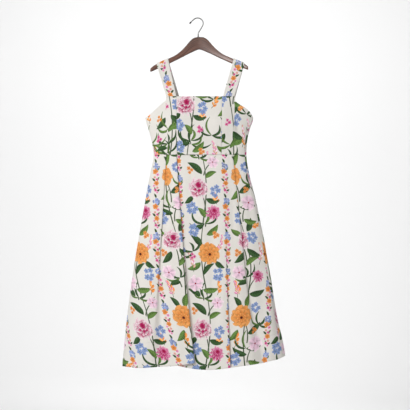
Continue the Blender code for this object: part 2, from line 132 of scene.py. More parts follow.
# The cloth between the folds, from left to right: how far it swells out at the hem, and its hem's height
Stretch = namedtuple("Stretch", "swell hem")
FRONT_STRETCHES = table(
    Stretch, (0.010, -1.401), (0.004, -1.390), (-0.004, -1.408), (0.004, -1.393), (0.008, -1.374)
)
BACK_STRETCHES = table(
    Stretch, (0.008, -1.396), (0.000, -1.386), (0.010, -1.390), (0.000, -1.384), (0.008, -1.371)
)
STRETCH_POINTS = 3
LEFT_HEM = -1.400
MIDDLE_HEM = -1.398
RIGHT_HEM = -1.358
RIGHT_FALL = 0.110

# The front panels meet at the princess seams. The side seam on the right rolls to the front.
PRINCESS_TOP_X = 0.0915
PRINCESS_WAIST_X = 0.0890
RIGHT_SEAM = 74.4
BUST_RISE = 0.010
BUST_X = 0.088
BUST_Z = -0.418
BUST_WIDTH = 0.052
BUST_HEIGHT = 0.060

# Straps: how far out each one's edges lie at the front, on the hanger's arm and at the back. The wall is
# the solid strap's, which the thinner shell runs in the middle of
StrapRow = namedtuple("StrapRow", "name side front_in front_out arm_in arm_out back_in back_out")
STRAPS = table(
    StrapRow,
    ("strap_left", -1, 0.0920, 0.1330, 0.1240, 0.1700, 0.0790, 0.1230),
    ("strap_right", 1, 0.0950, 0.1410, 0.1370, 0.1800, 0.0960, 0.1440),
)
STRAP_WALL = 0.0024
STRAP_CLEARANCE = 0.0005
STRAP_DROP = 0.016
STRAP_EDGE = 0.0015

# Hanger: the arms' top and bottom edges from the middle out
ArmPoint = namedtuple("ArmPoint", "out top bottom")
ARM = table(
    ArmPoint,
    (0.000, -0.0760, -0.1260),
    (0.012, -0.0766, -0.1296),
    (0.024, -0.0806, -0.1348),
    (0.036, -0.0902, -0.1404),
    (0.048, -0.1040, -0.1462),
    (0.062, -0.1200, -0.1534),
    (0.080, -0.1368, -0.1626),
    (0.100, -0.1508, -0.1724),
    (0.120, -0.1604, -0.1822),
    (0.140, -0.1698, -0.1916),
    (0.160, -0.1786, -0.2006),
    (0.176, -0.1862, -0.2074),
    (0.188, -0.1944, -0.2130),
    (0.197, -0.2026, -0.2162),
)
ARM_LEAN = 0.020
ARM_RADIUS = 0.0064
ARM_STEP = 0.004
ARM_SWEEP = 0.026
ARM_SWEEP_POWER = 1.6

# Hook: a wire of this radius, its crown's arc and its stem
WIRE = 0.00225
CROWN = 0.0225
STEM_X = 0.0015
STEM_TOP_Z = -0.060
FERRULE_RADIUS = 0.0032
FERRULE_HEIGHT = 0.0110
TIP_RADIUS = 0.0033
TIP_LENGTH = 0.0100

# The photo's frame: how wide it is at the dress, and its middle
FRAME_WIDTH = 1.64
FRAME_MIDDLE = Vector((0.0290, -0.040, -0.7535))


def linear(red: int, green: int, blue: int) -> Colour:
    """A colour given in screen values from 0 to 255, as the linear values that a shader takes."""
    return tuple(
        value / 12.92 if value <= 0.04045 else ((value + 0.055) / 1.055) ** 2.4
        for value in (red / 255, green / 255, blue / 255)
    )


def smooth(rows: Sequence, key: str, value: str, at: float) -> float:
    """The value at a place, on a smooth curve through a table's rows that never overshoots them.

    Args:
        rows: The table.
        key: The column that holds the places.
        value: The column that holds the values.
        at: The place asked for.

    Returns:
        The value there.
    """
    rows = sorted(rows, key=lambda row: getattr(row, key))
    places = [getattr(row, key) for row in rows]
    values = [getattr(row, value) for row in rows]
    if at <= places[0]:
        return values[0]
    if at >= places[-1]:
        return values[-1]
    rise = [(b - a) / (q - p) for a, b, p, q in zip(values, values[1:], places, places[1:])]
    slopes = [rise[0]] + [
        0.0 if a * b <= 0 else 2 * a * b / (a + b) for a, b in zip(rise, rise[1:])
    ] + [rise[-1]]
    i = bisect_right(places, at) - 1
    width = places[i + 1] - places[i]
    t = (at - places[i]) / width
    return (
        values[i] * (1 + 2 * t) * (1 - t) ** 2
        + values[i + 1] * t * t * (3 - 2 * t)
        + slopes[i] * width * t * (1 - t) ** 2
        - slopes[i + 1] * width * t * t * (1 - t)
    )


def through_three(first: float, middle: float, last: float, t: float) -> float:
    """A value that runs smoothly through three, at t = 0, 0.5 and 1."""
    return (
        first * (1 - t) * (1 - 2 * t)
        + middle * 4 * t * (1 - t)
        + last * t * (2 * t - 1)
    )


def filled(values: Sequence[float], step: float) -> list[float]:
    """The values with evenly spaced ones put between them, so that no gap is wider than a step.

    Args:
        values: Values in order, rising or falling.
        step: The widest gap.

    Returns:
        The fuller list.
    """
    made = [values[0]]
    for first, last in zip(values, values[1:]):
        parts = max(1, math.ceil(abs(last - first) / step - 1e-6))
        made += [first + (last - first) * (k + 1) / parts for k in range(parts)]
    return made


def spline_matrix(count: int, places: Sequence[float]) -> np.ndarray:
    """Weights of control points on a cubic B-spline that starts and ends at its first and last ones.

    Args:
        count: How many control points there are.
        places: Where on the curve, counting from 0 at the first control point.

    Returns:
        One row of weights for each place.
    """
    matrix = np.zeros((len(places), count))
    for row, place in enumerate(places):
        i = min(int(place), count - 2)
        f = place - i
        weights = (
            (1 - f) ** 3 / 6,
            (3 * f**3 - 6 * f * f + 4) / 6,
            (-3 * f**3 + 3 * f * f + 3 * f + 1) / 6,
            f**3 / 6,
        )
        for k, weight in enumerate(weights, i - 1):
            if k < 0:
                matrix[row, 0] += 2 * weight
                matrix[row, 1] -= weight
            elif k >= count:
                matrix[row, count - 1] += 2 * weight
                matrix[row, count - 2] -= weight
            else:
                matrix[row, k] += weight
    return matrix


class Ring:
    """The empty dress's cross-section at one height: an oval, flattened front to back."""

    def __init__(self, left: float, right: float, front: float, back: float) -> None:
        """Takes the oval's reach to each side, to the front and to the back."""
        self.middle = (left + right) / 2
        self.half = (right - left) / 2
        self.front = front
        self.back = back

    @classmethod
    def at(cls, z: float) -> "Ring":
        """The ring at a height."""
        return cls(*(smooth(SECTIONS, "z", column, z) for column in ("left", "right", "front", "back")))

    def turn(self, x: float) -> float:
        """The angle from the front's middle, towards the right, at which the front reaches x."""
        return math.asin(max(-1.0, min(1.0, (x - self.middle) / self.half)))

    def point(self, angle: float) -> tuple[float, float]:
        """A point of the ring.

        Args:
            angle: 0 at the front's middle, a quarter turn at the right side.

        Returns:
            Its x and y.
        """
        across = math.cos(angle)
        depth = self.front if across >= 0 else self.back
        return (
            self.middle + self.half * math.sin(angle),
            -math.copysign(depth * abs(across) ** ROUNDING, across),
        )

    def tangent(self, angle: float) -> Vector:
        """The unit direction in which the cloth runs at an angle, as the angle grows."""
        step = 0.002
        before, after = Vector(self.point(angle - step)), Vector(self.point(angle + step))
        return (after - before).normalized().to_3d()


def body_point(angle: float, z: float) -> Vector:
    """A point of the bodice's middle surface.

    Args:
        angle: Where it is round the body, from the front's middle.
        z: Its height.

    Returns:
        The point.
    """
    x, y = Ring.at(z).point(angle)
    if math.cos(angle) > 0:
        beside = (abs(x) - BUST_X) / BUST_WIDTH
        above = (z - BUST_Z) / BUST_HEIGHT
        y -= BUST_RISE * math.exp(-beside * beside - above * above)
    return Vector((x, y, z))


def seam_point(angle: float, z: float, away: int) -> Vector:
    """The bodice's point half a gap from a seam: away is +1 where the cloth's angle is the larger one."""
    return body_point(angle, z) + Ring.at(z).tangent(angle) * away * SEAM_GAP / 2


def princess_x(z: float) -> float:
    """Half the distance between the princess seams at a height."""
    share = (z - TOP_Z) / (WAIST_Z - TOP_Z)
    return PRINCESS_TOP_X + (PRINCESS_WAIST_X - PRINCESS_TOP_X) * share


def armhole_z(x: float, strap_outer: float, top: float, side: float) -> float:
    """Height of the bodice's top edge: level as far as the strap, then the armhole.

    Args:
        x: Distance from the middle.
        strap_outer: Where the strap ends.
        top: Height of the level part.
        side: Negative for the left armhole.

    Returns:
        The height.
    """
    if x <= strap_outer:
        return top
    start = top - STRAP_DROP
    share = (x - strap_outer) / (UNDERARM_X - strap_outer)
    bow = RIGHT_ARMHOLE_BOW if side > 0 else LEFT_ARMHOLE_BOW
    fall = share * (0.92 + 0.08 * share - bow * share * share * (1 - share))
    return start + (UNDERARM_Z - start) * fall


def strap_on(side: float) -> StrapRow:
    """The strap on the left, where side is negative, or else on the right."""
    return STRAPS[0] if side < 0 else STRAPS[1]


def arm_y(out: float) -> float:
    """Where the hanger's arm has swept to at a distance from the middle, as a y in the dress's frame."""
    return -ARM_SWEEP * (out / ARM[-1].out) ** ARM_SWEEP_POWER - DRESS_Y


def arm_top(x: float) -> float:
    """Height of the arm's top at a distance to the right of the middle."""
    return smooth(ARM, "out", "top", abs(x)) + ARM_LEAN * x


def arm_bottom(x: float) -> float:
    """Height of the arm's underside at a distance to the right of the middle."""
    return smooth(ARM, "out", "bottom", abs(x)) + ARM_LEAN * x


def new_object(name: str, bm: bmesh.types.BMesh, finish: bpy.types.Material) -> bpy.types.Object:
    """An object made from a bmesh, shaded smooth.

    Args:
        name: The piece's name.
        bm: Its mesh, which is freed.
        finish: Its material.

    Returns:
        The object, linked to the scene.
    """
    mesh = bpy.data.meshes.new(name)
    bm.to_mesh(mesh)
    bm.free()
    mesh.materials.append(finish)
    mesh.shade_smooth()
    made = bpy.data.objects.new(name, mesh)
    bpy.context.scene.collection.objects.link(made)
    return made


def skin(bm: bmesh.types.BMesh, loops: Sequence[list[bmesh.types.BMVert]]) -> None:
    """Bridges loops of vertices from the first to the last, and closes both ends.

    Args:
        bm: The mesh.
        loops: The loops, each with its own edges alone.
    """
    rings = [list({edge for vertex in loop for edge in vertex.link_edges}) for loop in loops]
    for first, second in zip(rings, rings[1:]):
        bmesh.ops.bridge_loops(bm, edges=first + second)
    for ring in (rings[0], rings[-1]):
        bmesh.ops.edgeloop_fill(bm, edges=ring)
    bmesh.ops.recalc_face_normals(bm, faces=bm.faces)


def spun(profile: Iterable[Sequence[float]], x: float, steps: int) -> bmesh.types.BMesh:
    """A profile spun a whole turn about an upright line.

    Args:
        profile: Its points: how far out from the line, and how high.
        x: Where the line stands.
        steps: How many faces go round.

    Returns:
        The mesh, which faces outwards.
    """
    bm = bmesh.new()
    verts = [bm.verts.new((x + out, 0.0, z)) for out, z in profile]
    edges = [bm.edges.new(pair) for pair in zip(verts, verts[1:])]
    bmesh.ops.spin(
        bm, geom=verts + edges, cent=(x, 0.0, 0.0), axis=(0.0, 0.0, 1.0), dvec=(0.0, 0.0, 0.0),
        angle=2 * math.pi, steps=steps, use_merge=True,
    )
    bmesh.ops.remove_doubles(bm, verts=bm.verts, dist=1e-6)
    bmesh.ops.recalc_face_normals(bm, faces=bm.faces)
    return bm


class Ink(Enum):
    """The print's colours, as linear values."""

    GROUND = linear(230, 226, 219)
    STEM = linear(62, 78, 50)
    DEEP_GREEN = linear(52, 80, 44)
    GREEN = linear(92, 122, 60)
    ORANGE = linear(226, 138, 68)
    AMBER = linear(240, 170, 98)
    RUST = linear(206, 112, 58)
    MAGENTA = linear(178, 22, 92)
    ROSE = linear(214, 82, 142)
    PINK = linear(234, 156, 192)
    BLUSH = linear(240, 204, 222)
    PALE_PINK = linear(246, 228, 234)
    BLUE = linear(116, 138, 190)
    PALE_BLUE = linear(164, 182, 218)
    BEIGE = linear(226, 180, 160)
    BROWN = linear(84, 36, 26)
    CRIMSON = linear(150, 22, 54)


class Shape(Enum):
    """How a blade's width runs along it."""

    STEM = "stem"
    LEAF = "leaf"
    BUD = "bud"


class Side(Enum):
    """The dress's front or back, with the way it faces along Y."""

    FRONT = -1
    BACK = 1


# The print's repeat: two climbing plants side by side, with a garland band beside each
REPEAT_WIDTH = 0.368
REPEAT_HEIGHT = 0.560
BAND = 0.184
LEAF_LAYERS = 3
BLOOM_LAYERS = 2
MARGIN = 0.007
FAR = 9.0
FLORET = 0.0076


@dataclass(frozen=True)
class Blade:
    """A stem, leaf or bud of the print, on a bent middle line."""

    line: tuple[tuple[float, float], ...]
    half: float
    shape: Shape
    ink: Ink

    def half_at(self, along: np.ndarray, length: float) -> np.ndarray:
        """Half the blade's width at shares of its length: negative beyond its ends.

        Args:
            along: Shares of the length, below 0 or above 1 beyond the ends.
            length: The blade's length.

        Returns:
            Half widths in metres.
        """
        inside = np.clip(along, 0.0, 1.0)
        if self.shape is Shape.STEM:
            width = self.half * (1.0 - 0.4 * inside)
        elif self.shape is Shape.LEAF:
            width = self.half * np.sin(np.pi * inside**0.8) ** 0.9
        else:
            width = self.half * np.sqrt(np.maximum(0.0, 1.0 - (2.0 * inside - 1.0) ** 2))
        beyond = np.maximum(-along, along - 1.0)
        return np.where(beyond > 0, -beyond * length, width)

    def measure(self, at: np.ndarray, shift: np.ndarray) -> np.ndarray:
        """Where points lie on the blade.

        Args:
            at: Points in cloth coordinates, one in a row.
            shift: The repeat's own place.

        Returns:
            Distance across (signed), half width and share of the length, for each point.
        """
        points = np.array(self.line) + shift
        runs = np.diff(points, axis=0)
        lengths = np.linalg.norm(runs, axis=1)
        starts = np.concatenate([[0.0], np.cumsum(lengths)[:-1]])
        total = lengths.sum()
        best = np.full(len(at), np.inf)
        across, along = np.zeros((2, len(at)))
        for k, (start, run, length) in enumerate(zip(points, runs, lengths)):
            away = at - start
            low = -np.inf if k == 0 else 0.0
            high = np.inf if k == len(runs) - 1 else 1.0
            t = np.clip((away @ run) / (length * length), low, high)
            offset = away - t[:, None] * run
            distance = np.linalg.norm(offset, axis=1)
            overshoot = np.maximum(0.0, np.maximum(-t, t - 1.0)) * length
            reach = np.hypot(distance, overshoot)
            nearer = reach < best
            best = np.where(nearer, reach, best)
            side = np.sign(run[0] * offset[:, 1] - run[1] * offset[:, 0])
            across = np.where(nearer, distance * side, across)
            along = np.where(nearer, (starts[k] + t * length) / total, along)
        return np.column_stack([across, self.half_at(along, total), along])


@dataclass(frozen=True)
class Bloom:
    """A round flower of the print, in up to three rings of petals."""

    u: float
    v: float
    radius: float
    petals: int
    notch: float
    ruffle: float
    middle_ring: float
    inner_ring: float
    heart_size: float
    inner: Ink
    outer: Ink
    heart: Ink
    lean: float = 0.0
    turn: float = 0.0

    def measure(self, at: np.ndarray, shift: np.ndarray) -> np.ndarray:
        """Points as shares of the radius from the flower's middle, turned as it is, and its lean."""
        away = (at - np.array([self.u, self.v]) - shift) / self.radius
        c, s = math.cos(self.turn), math.sin(self.turn)
        x = away[:, 0] * c + away[:, 1] * s
        y = away[:, 1] * c - away[:, 0] * s
        return np.column_stack([x, y, np.full(len(at), self.lean)])


@dataclass(frozen=True)
class Cluster:
    """An oval head of small florets."""

    u: float
    v: float
    wide: float
    high: float
    outer: Ink
    heart: Ink

    def measure(self, at: np.ndarray, shift: np.ndarray) -> np.ndarray:
        """Points as shares of the oval's reach from its middle."""
        away = (at - np.array([self.u, self.v]) - shift) / np.array([self.wide, self.high])
        return np.column_stack([away, np.zeros(len(at))])


def bent(start: Sequence[float], end: Sequence[float], bend: float, parts: int = 8) -> tuple:
    """Points of an arc-like line between two places.

    Args:
        start: Where it starts.
        end: Where it ends.
        bend: How far its middle stands off to the right of its way, as a share of its length.
        parts: How many straight parts it has.

    Returns:
        The points.
    """
    first, last = np.array(start, float), np.array(end, float)
    run = last - first
    sideways = np.array([-run[1], run[0]]) * bend
    shares = np.linspace(0.0, 1.0, parts + 1)[:, None]
    made = first + run * shares + sideways * 4 * shares * (1 - shares)
    return tuple(map(tuple, made))


def tip_of(u: float, v: float, turn: float, length: float) -> tuple[float, float]:
    """The place a length away from another, turned clockwise from the cloth's upward way, in degrees."""
    angle = math.radians(turn)
    return u + length * math.sin(angle), v - length * math.cos(angle)


# How each kind of flower is drawn: how many petals, how deep the notches between them and how ruffled, how
# far its two inner rings reach and its heart's size, the inks at its petals' feet and tips and of its
# heart, and how far each ring leans over the last
Form = namedtuple("Form", "petals notch ruffle middle_ring inner_ring heart_size inner outer heart lean")
FORMS = {
    "zinnia": Form(9, 0.17, 0.20, 0.74, 0.40, 0.12, Ink.ORANGE, Ink.AMBER, Ink.BROWN, -0.05),
    "peony": Form(6, 0.36, 0.50, 0.76, 0.48, 0.09, Ink.MAGENTA, Ink.PALE_PINK, Ink.CRIMSON, 0.15),
    "aster": Form(11, 0.66, 0.24, 0.74, 0.46, 0.12, Ink.MAGENTA, Ink.PINK, Ink.CRIMSON, 0.16),
    "mallow": Form(5, 0.34, 0.30, 0.0, 0.0, 0.11, Ink.BLUSH, Ink.PALE_PINK, Ink.CRIMSON, 0.0),
    "blue": Form(5, 0.66, 0.16, 0.46, 0.0, 0.13, Ink.BLUE, Ink.PALE_BLUE, Ink.GREEN, 0.0),
    "sprig": Form(5, 0.70, 0.20, 0.0, 0.0, 0.16, Ink.ORANGE, Ink.AMBER, Ink.RUST, 0.0),
    "pink sprig": Form(4, 0.66, 0.20, 0.0, 0.0, 0.18, Ink.ROSE, Ink.PINK, Ink.MAGENTA, 0.0),
}

# Flowers with a stem of their own. Foot is where the stem leaves the climbing one. Only those with a
# mark for it also grow where the cloth has no garlands
Flower = namedtuple("Flower", "kind u v radius foot_u foot_v bend leafy", defaults=(False,))
FLOWERS = table(
    Flower,
    ("zinnia", 0.068, 0.084, 0.045, 0.098, 0.190, 0.10),
    ("mallow", 0.134, 0.192, 0.033, 0.104, 0.268, -0.12, True),
    ("peony", 0.084, 0.342, 0.041, 0.096, 0.430, 0.06),
    ("mallow", 0.048, 0.470, 0.030, 0.088, 0.528, 0.14),
    ("aster", 0.138, 0.486, 0.026, 0.100, 0.540, -0.10),
    ("peony", 0.262, 0.134, 0.042, 0.284, 0.236, 0.08, True),
    ("aster", 0.316, 0.232, 0.031, 0.282, 0.290, -0.12),
    ("zinnia", 0.294, 0.394, 0.044, 0.272, 0.480, -0.08),
    ("mallow", 0.236, 0.514, 0.033, 0.268, 0.580, 0.12, True),
    ("mallow", 0.322, 0.030, 0.025, 0.284, 0.084, -0.12),
)

# Small open flowers in groups, five of the blue ones and three of the others: their middle and size
Group = namedtuple("Group", "kind u v size")
GROUPS = table(
    Group,
    ("blue", 0.054, 0.252, 0.0125),
    ("blue", 0.132, 0.330, 0.0120),
    ("blue", 0.130, 0.050, 0.0105),
    ("sprig", 0.042, 0.392, 0.0085),
    ("sprig", 0.126, 0.140, 0.0080),
    ("blue", 0.232, 0.216, 0.0125),
    ("blue", 0.326, 0.146, 0.0115),
    ("sprig", 0.230, 0.062, 0.0085),
    ("blue", 0.236, 0.302, 0.0120),
    ("sprig", 0.322, 0.320, 0.0090),
    ("blue", 0.326, 0.478, 0.0125),
    ("pink sprig", 0.228, 0.404, 0.0080),
)

# Single leaves: where each one is rooted, the way it points, clockwise from up, and its form
Leaf = namedtuple("Leaf", "u v turn length half bend ink")
LEAVES = table(
    Leaf,
    (0.098, 0.152, 50, 0.070, 0.0128, 0.10, Ink.DEEP_GREEN),
    (0.056, 0.136, -140, 0.058, 0.0112, -0.12, Ink.GREEN),
    (0.060, 0.050, -34, 0.052, 0.0105, 0.10, Ink.DEEP_GREEN),
    (0.084, 0.048, 20, 0.060, 0.0118, -0.08, Ink.GREEN),
    (0.100, 0.234, -64, 0.066, 0.0112, -0.14, Ink.DEEP_GREEN),
    (0.108, 0.258, 98, 0.052, 0.0108, 0.16, Ink.GREEN),
    (0.114, 0.306, 22, 0.058, 0.0120, 0.08, Ink.DEEP_GREEN),
    (0.060, 0.320, -62, 0.050, 0.0108, -0.10, Ink.GREEN),
    (0.106, 0.376, 116, 0.060, 0.0128, 0.14, Ink.DEEP_GREEN),
    (0.072, 0.386, -136, 0.064, 0.0122, -0.10, Ink.DEEP_GREEN),
    (0.094, 0.444, 60, 0.066, 0.0100, -0.16, Ink.GREEN),
    (0.088, 0.508, -108, 0.048, 0.0098, 0.12, Ink.DEEP_GREEN),
    (0.102, 0.556, 74, 0.066, 0.0124, 0.12, Ink.DEEP_GREEN),
    (0.276, 0.078, -50, 0.072, 0.0130, 0.10, Ink.DEEP_GREEN),
    (0.290, 0.094, 62, 0.052, 0.0104, -0.12, Ink.GREEN),
    (0.236, 0.164, -132, 0.046, 0.0104, -0.10, Ink.DEEP_GREEN),
    (0.290, 0.176, 98, 0.054, 0.0112, 0.14, Ink.DEEP_GREEN),
    (0.282, 0.252, -36, 0.048, 0.0108, 0.12, Ink.GREEN),
    (0.276, 0.280, -94, 0.058, 0.0104, -0.16, Ink.DEEP_GREEN),
    (0.286, 0.320, 48, 0.062, 0.0122, 0.12, Ink.GREEN),
    (0.264, 0.366, -44, 0.060, 0.0126, 0.10, Ink.DEEP_GREEN),
    (0.318, 0.424, 126, 0.046, 0.0106, 0.12, Ink.DEEP_GREEN),
    (0.258, 0.430, -116, 0.060, 0.0124, -0.12, Ink.GREEN),
    (0.270, 0.480, 44, 0.064, 0.0094, -0.14, Ink.DEEP_GREEN),
    (0.266, 0.538, 84, 0.062, 0.0116, 0.12, Ink.GREEN),
    (0.254, 0.566, -58, 0.058, 0.0118, 0.10, Ink.DEEP_GREEN),
)

# Sprays: several small blades or buds from one root
Spray = namedtuple("Spray", "kind u v turn length")
SPRAYS = table(
    Spray,
    ("grass", 0.096, 0.210, 18, 0.068),
    ("buds", 0.048, 0.210, 8, 0.044),
    ("spike", 0.146, 0.440, 8, 0.080),
    ("grass", 0.088, 0.490, -26, 0.060),
    ("buds", 0.130, 0.286, 74, 0.034),
    ("spike", 0.046, 0.010, -14, 0.060),
    ("buds", 0.052, 0.556, -22, 0.038),
    ("grass", 0.146, 0.118, 20, 0.050),
    ("grass", 0.280, 0.276, -20, 0.066),
    ("spike", 0.326, 0.392, 16, 0.066),
    ("buds", 0.330, 0.200, -12, 0.034),
    ("spike", 0.230, 0.470, -14, 0.072),
    ("grass", 0.270, 0.012, 26, 0.060),
    ("buds", 0.322, 0.560, 6, 0.044),
    ("grass", 0.228, 0.386, -40, 0.052),
)

# What fills the garlands' place where the cloth has none, down each band
FILLERS = table(
    Spray,
    ("grass", 0.004, 0.090, -12, 0.066),
    ("buds", -0.006, 0.128, 24, 0.040),
    ("grass", -0.004, 0.236, 16, 0.070),
    ("spike", 0.008, 0.330, -8, 0.064),
    ("buds", -0.008, 0.392, -30, 0.044),
    ("grass", 0.006, 0.470, 10, 0.072),
    ("spike", 0.002, 0.556, 14, 0.058),
)

# What one unit of the garland holds, from its top: across from the band's middle, down, and its radius
Floret = namedtuple("Floret", "across down radius petals inner outer heart")
GARLAND_UNIT = 0.140
GARLAND_FLORETS = table(
    Floret,
    (-0.003, 0.048, 0.0125, 5, Ink.ORANGE, Ink.AMBER, Ink.RUST),
    (0.007, 0.060, 0.0085, 5, Ink.PINK, Ink.PALE_PINK, Ink.MAGENTA),
    (-0.005, 0.071, 0.0075, 5, Ink.BEIGE, Ink.PALE_PINK, Ink.ROSE),
    (0.004, 0.079, 0.0055, 4, Ink.ROSE, Ink.PINK, Ink.MAGENTA),
    (0.002, 0.095, 0.0115, 6, Ink.ORANGE, Ink.AMBER, Ink.RUST),
    (-0.008, 0.105, 0.0065, 4, Ink.PINK, Ink.PALE_PINK, Ink.MAGENTA),
    (0.006, 0.112, 0.0075, 5, Ink.BEIGE, Ink.PALE_PINK, Ink.ROSE),
    (-0.002, 0.122, 0.0070, 4, Ink.ROSE, Ink.PINK, Ink.MAGENTA),
    (0.005, 0.131, 0.0060, 5, Ink.PINK, Ink.PALE_PINK, Ink.ROSE),
)
GARLAND_LEAVES = table(
    Leaf,
    (0.000, 0.014, -24, 0.020, 0.0042, 0.10, Ink.DEEP_GREEN),
    (0.004, 0.044, 34, 0.019, 0.0030, 0.10, Ink.GREEN),
    (-0.004, 0.088, -46, 0.018, 0.0046, 0.12, Ink.DEEP_GREEN),
    (0.006, 0.086, 28, 0.019, 0.0036, -0.10, Ink.GREEN),
    (-0.002, 0.128, -18, 0.020, 0.0034, 0.10, Ink.GREEN),
    (0.004, 0.132, 42, 0.018, 0.0044, -0.10, Ink.DEEP_GREEN),
)
GARLAND_HEAD = Cluster(0.001, 0.028, 0.0125, 0.0170, Ink.BLUE, Ink.PALE_PINK)


@dataclass
class PrintChart:
    """One repeat of the climbing-flower print, charted in metres of cloth, v running down."""

    garlands: bool = True
    climbers: tuple = ((0.096, 0.0), (0.277, 0.45))
    bands: tuple = ((0.0, 0.02), (BAND, 0.07))
    sway: float = 0.015
    climber_half: float = 0.0026
    stem_half: float = 0.0025
    twig_half: float = 0.0011
    tuft_length: float = 0.074
    sprig_size: float = 0.0085
    stems: list[Blade] = field(default_factory=list)
    leaves: list[Blade] = field(default_factory=list)
    blooms: list[Bloom] = field(default_factory=list)
    clusters: list[Cluster] = field(default_factory=list)

    def __post_init__(self) -> None:
        """Draws the climbing plants, then the garlands or what fills their place."""
        draw = random.Random(7)
        for middle, phase in self.climbers:
            self.climber(middle, phase)
        for row in LEAVES:
            self.leaf(row)
        for row in SPRAYS:
            self.spray(row, draw)
        for row in FLOWERS:
            if self.garlands or row.leafy:
                self.flower(row, draw)
            else:
                turn = math.degrees(math.atan2(row.u - row.foot_u, row.foot_v - row.v))
                self.spray(Spray("grass", row.foot_u, row.foot_v, turn, self.tuft_length), draw)
                self.group(Group("pink sprig", row.u, row.v, self.sprig_size), draw)
        for row in GROUPS:
            self.group(row, draw)
        for middle, start in self.bands:
            if self.garlands:
                for k in range(round(REPEAT_HEIGHT / GARLAND_UNIT)):
                    self.garland(middle, start + k * GARLAND_UNIT, draw)
            else:
                for row in FILLERS:
                    self.spray(row._replace(u=middle + row.u, v=start + row.v), draw)

    def climber(self, middle: float, phase: float) -> None:
        """A climbing stem that winds from one repeat into the next.

        Args:
            middle: The line that it winds about.
            phase: Where in its winding it starts, as a share of one turn.
        """
        places = np.linspace(0.0, 1.0, 33)
        line = tuple(
            (middle + self.sway * math.sin(2 * math.pi * (t + phase)), REPEAT_HEIGHT * (1 - t))
            for t in places
        )
        for first, last in ((0, 17), (16, 33)):
            self.stems.append(Blade(line[first:last], self.climber_half, Shape.STEM, Ink.STEM))

    def bloom(self, kind: str, u: float, v: float, radius: float, draw: random.Random) -> None:
        """An open flower, turned at random."""
        form = FORMS[kind]
        turn = draw.uniform(-0.7, 0.7) if form.lean else draw.uniform(0, 6.28)
        self.blooms.append(Bloom(u, v, radius, *form, turn=turn))

    def flower(self, row: Flower, draw: random.Random) -> None:
        """A flower on its stem.

        Args:
            row: The flower's kind and place.
            draw: Gives its turn.
        """
        line = bent((row.foot_u, row.foot_v), (row.u, row.v), row.bend)
        self.stems.append(Blade(line, self.stem_half, Shape.STEM, Ink.STEM))
        self.bloom(row.kind, row.u, row.v, row.radius, draw)

    def group(self, row: Group, draw: random.Random) -> None:
        """Three small flowers close together, or five of the blue ones.

        Args:
            row: Their kind, place and size.
            draw: Makes them uneven.
        """
        count = 5 if row.kind == "blue" else 3
        for k in range(count):
            turn = 2 * math.pi / count * k + draw.uniform(-0.3, 0.3)
            away = row.size * draw.uniform(0.85, 1.15) * (1.0 if count == 3 else 1.35)
            u, v = row.u + away * 0.8 * math.cos(turn), row.v + away * math.sin(turn)
            self.bloom(row.kind, u, v, row.size * draw.uniform(0.85, 1.1), draw)

    def leaf(self, row: Leaf) -> None:
        """A single leaf."""
        tip = tip_of(row.u, row.v, row.turn, row.length)
        self.leaves.append(Blade(bent((row.u, row.v), tip, row.bend), row.half, Shape.LEAF, row.ink))

    def spray(self, row: Spray, draw: random.Random) -> None:
        """A spray of narrow blades, or of buds on a thin stem.

        Args:
            row: The spray's kind and place.
            draw: Makes its parts uneven.
        """
        root = (row.u, row.v)
        if row.kind == "grass":
            for turn, share in ((-66, 0.96), (-20, 1.10), (18, 0.74), (58, 1.12)):
                tip = tip_of(*root, row.turn + turn, row.length * share)
                bend = math.copysign(draw.uniform(0.20, 0.34), turn)
                ink = draw.choice((Ink.DEEP_GREEN, Ink.DEEP_GREEN, Ink.GREEN))
                half = draw.uniform(0.0040, 0.0054)
                self.leaves.append(Blade(bent(root, tip, bend), half, Shape.LEAF, ink))
            return
        end = tip_of(*root, row.turn, row.length)
        line = bent(root, end, 0.08)
        self.stems.append(Blade(line, self.twig_half, Shape.STEM, Ink.STEM))
        thick = row.kind == "spike"
        count = 14 if thick else 5
        for k in range(count):
            share = 0.22 + 0.78 * k / (count - 1)
            u, v = line[round(share * (len(line) - 1))]
            turn = row.turn + (-1) ** k * draw.uniform(28, 62) * (1.15 - share)
            reach = (0.017 - 0.006 * share) if thick else draw.uniform(0.015, 0.021)
            inks = (Ink.BEIGE, Ink.PINK, Ink.PALE_PINK) if thick else (Ink.ORANGE, Ink.AMBER)
            tip = tip_of(u, v, turn, reach)
            bud = Blade(bent((u, v), tip, 0.05, 4), reach * 0.28, Shape.BUD, inks[k % len(inks)])
            self.leaves.append(bud)

    def garland(self, middle: float, top: float, draw: random.Random) -> None:
        """One unit of a garland band.

        Args:
            middle: The band's middle, across the repeat.
            top: The unit's top.
            draw: Gives the florets' turns.
        """
        head = GARLAND_HEAD
        self.clusters.append(replace(head, u=middle + head.u, v=top + head.v))
        for row in GARLAND_FLORETS:
            self.blooms.append(
                Bloom(middle + row.across, top + row.down, row.radius, row.petals, 0.50, 0.16, 0.0, 0.0, 0.20,
                      row.inner, row.outer, row.heart, turn=draw.uniform(0, 6.28))
            )
        for row in GARLAND_LEAVES:
            self.leaf(row._replace(u=middle + row.u, v=top + row.v))


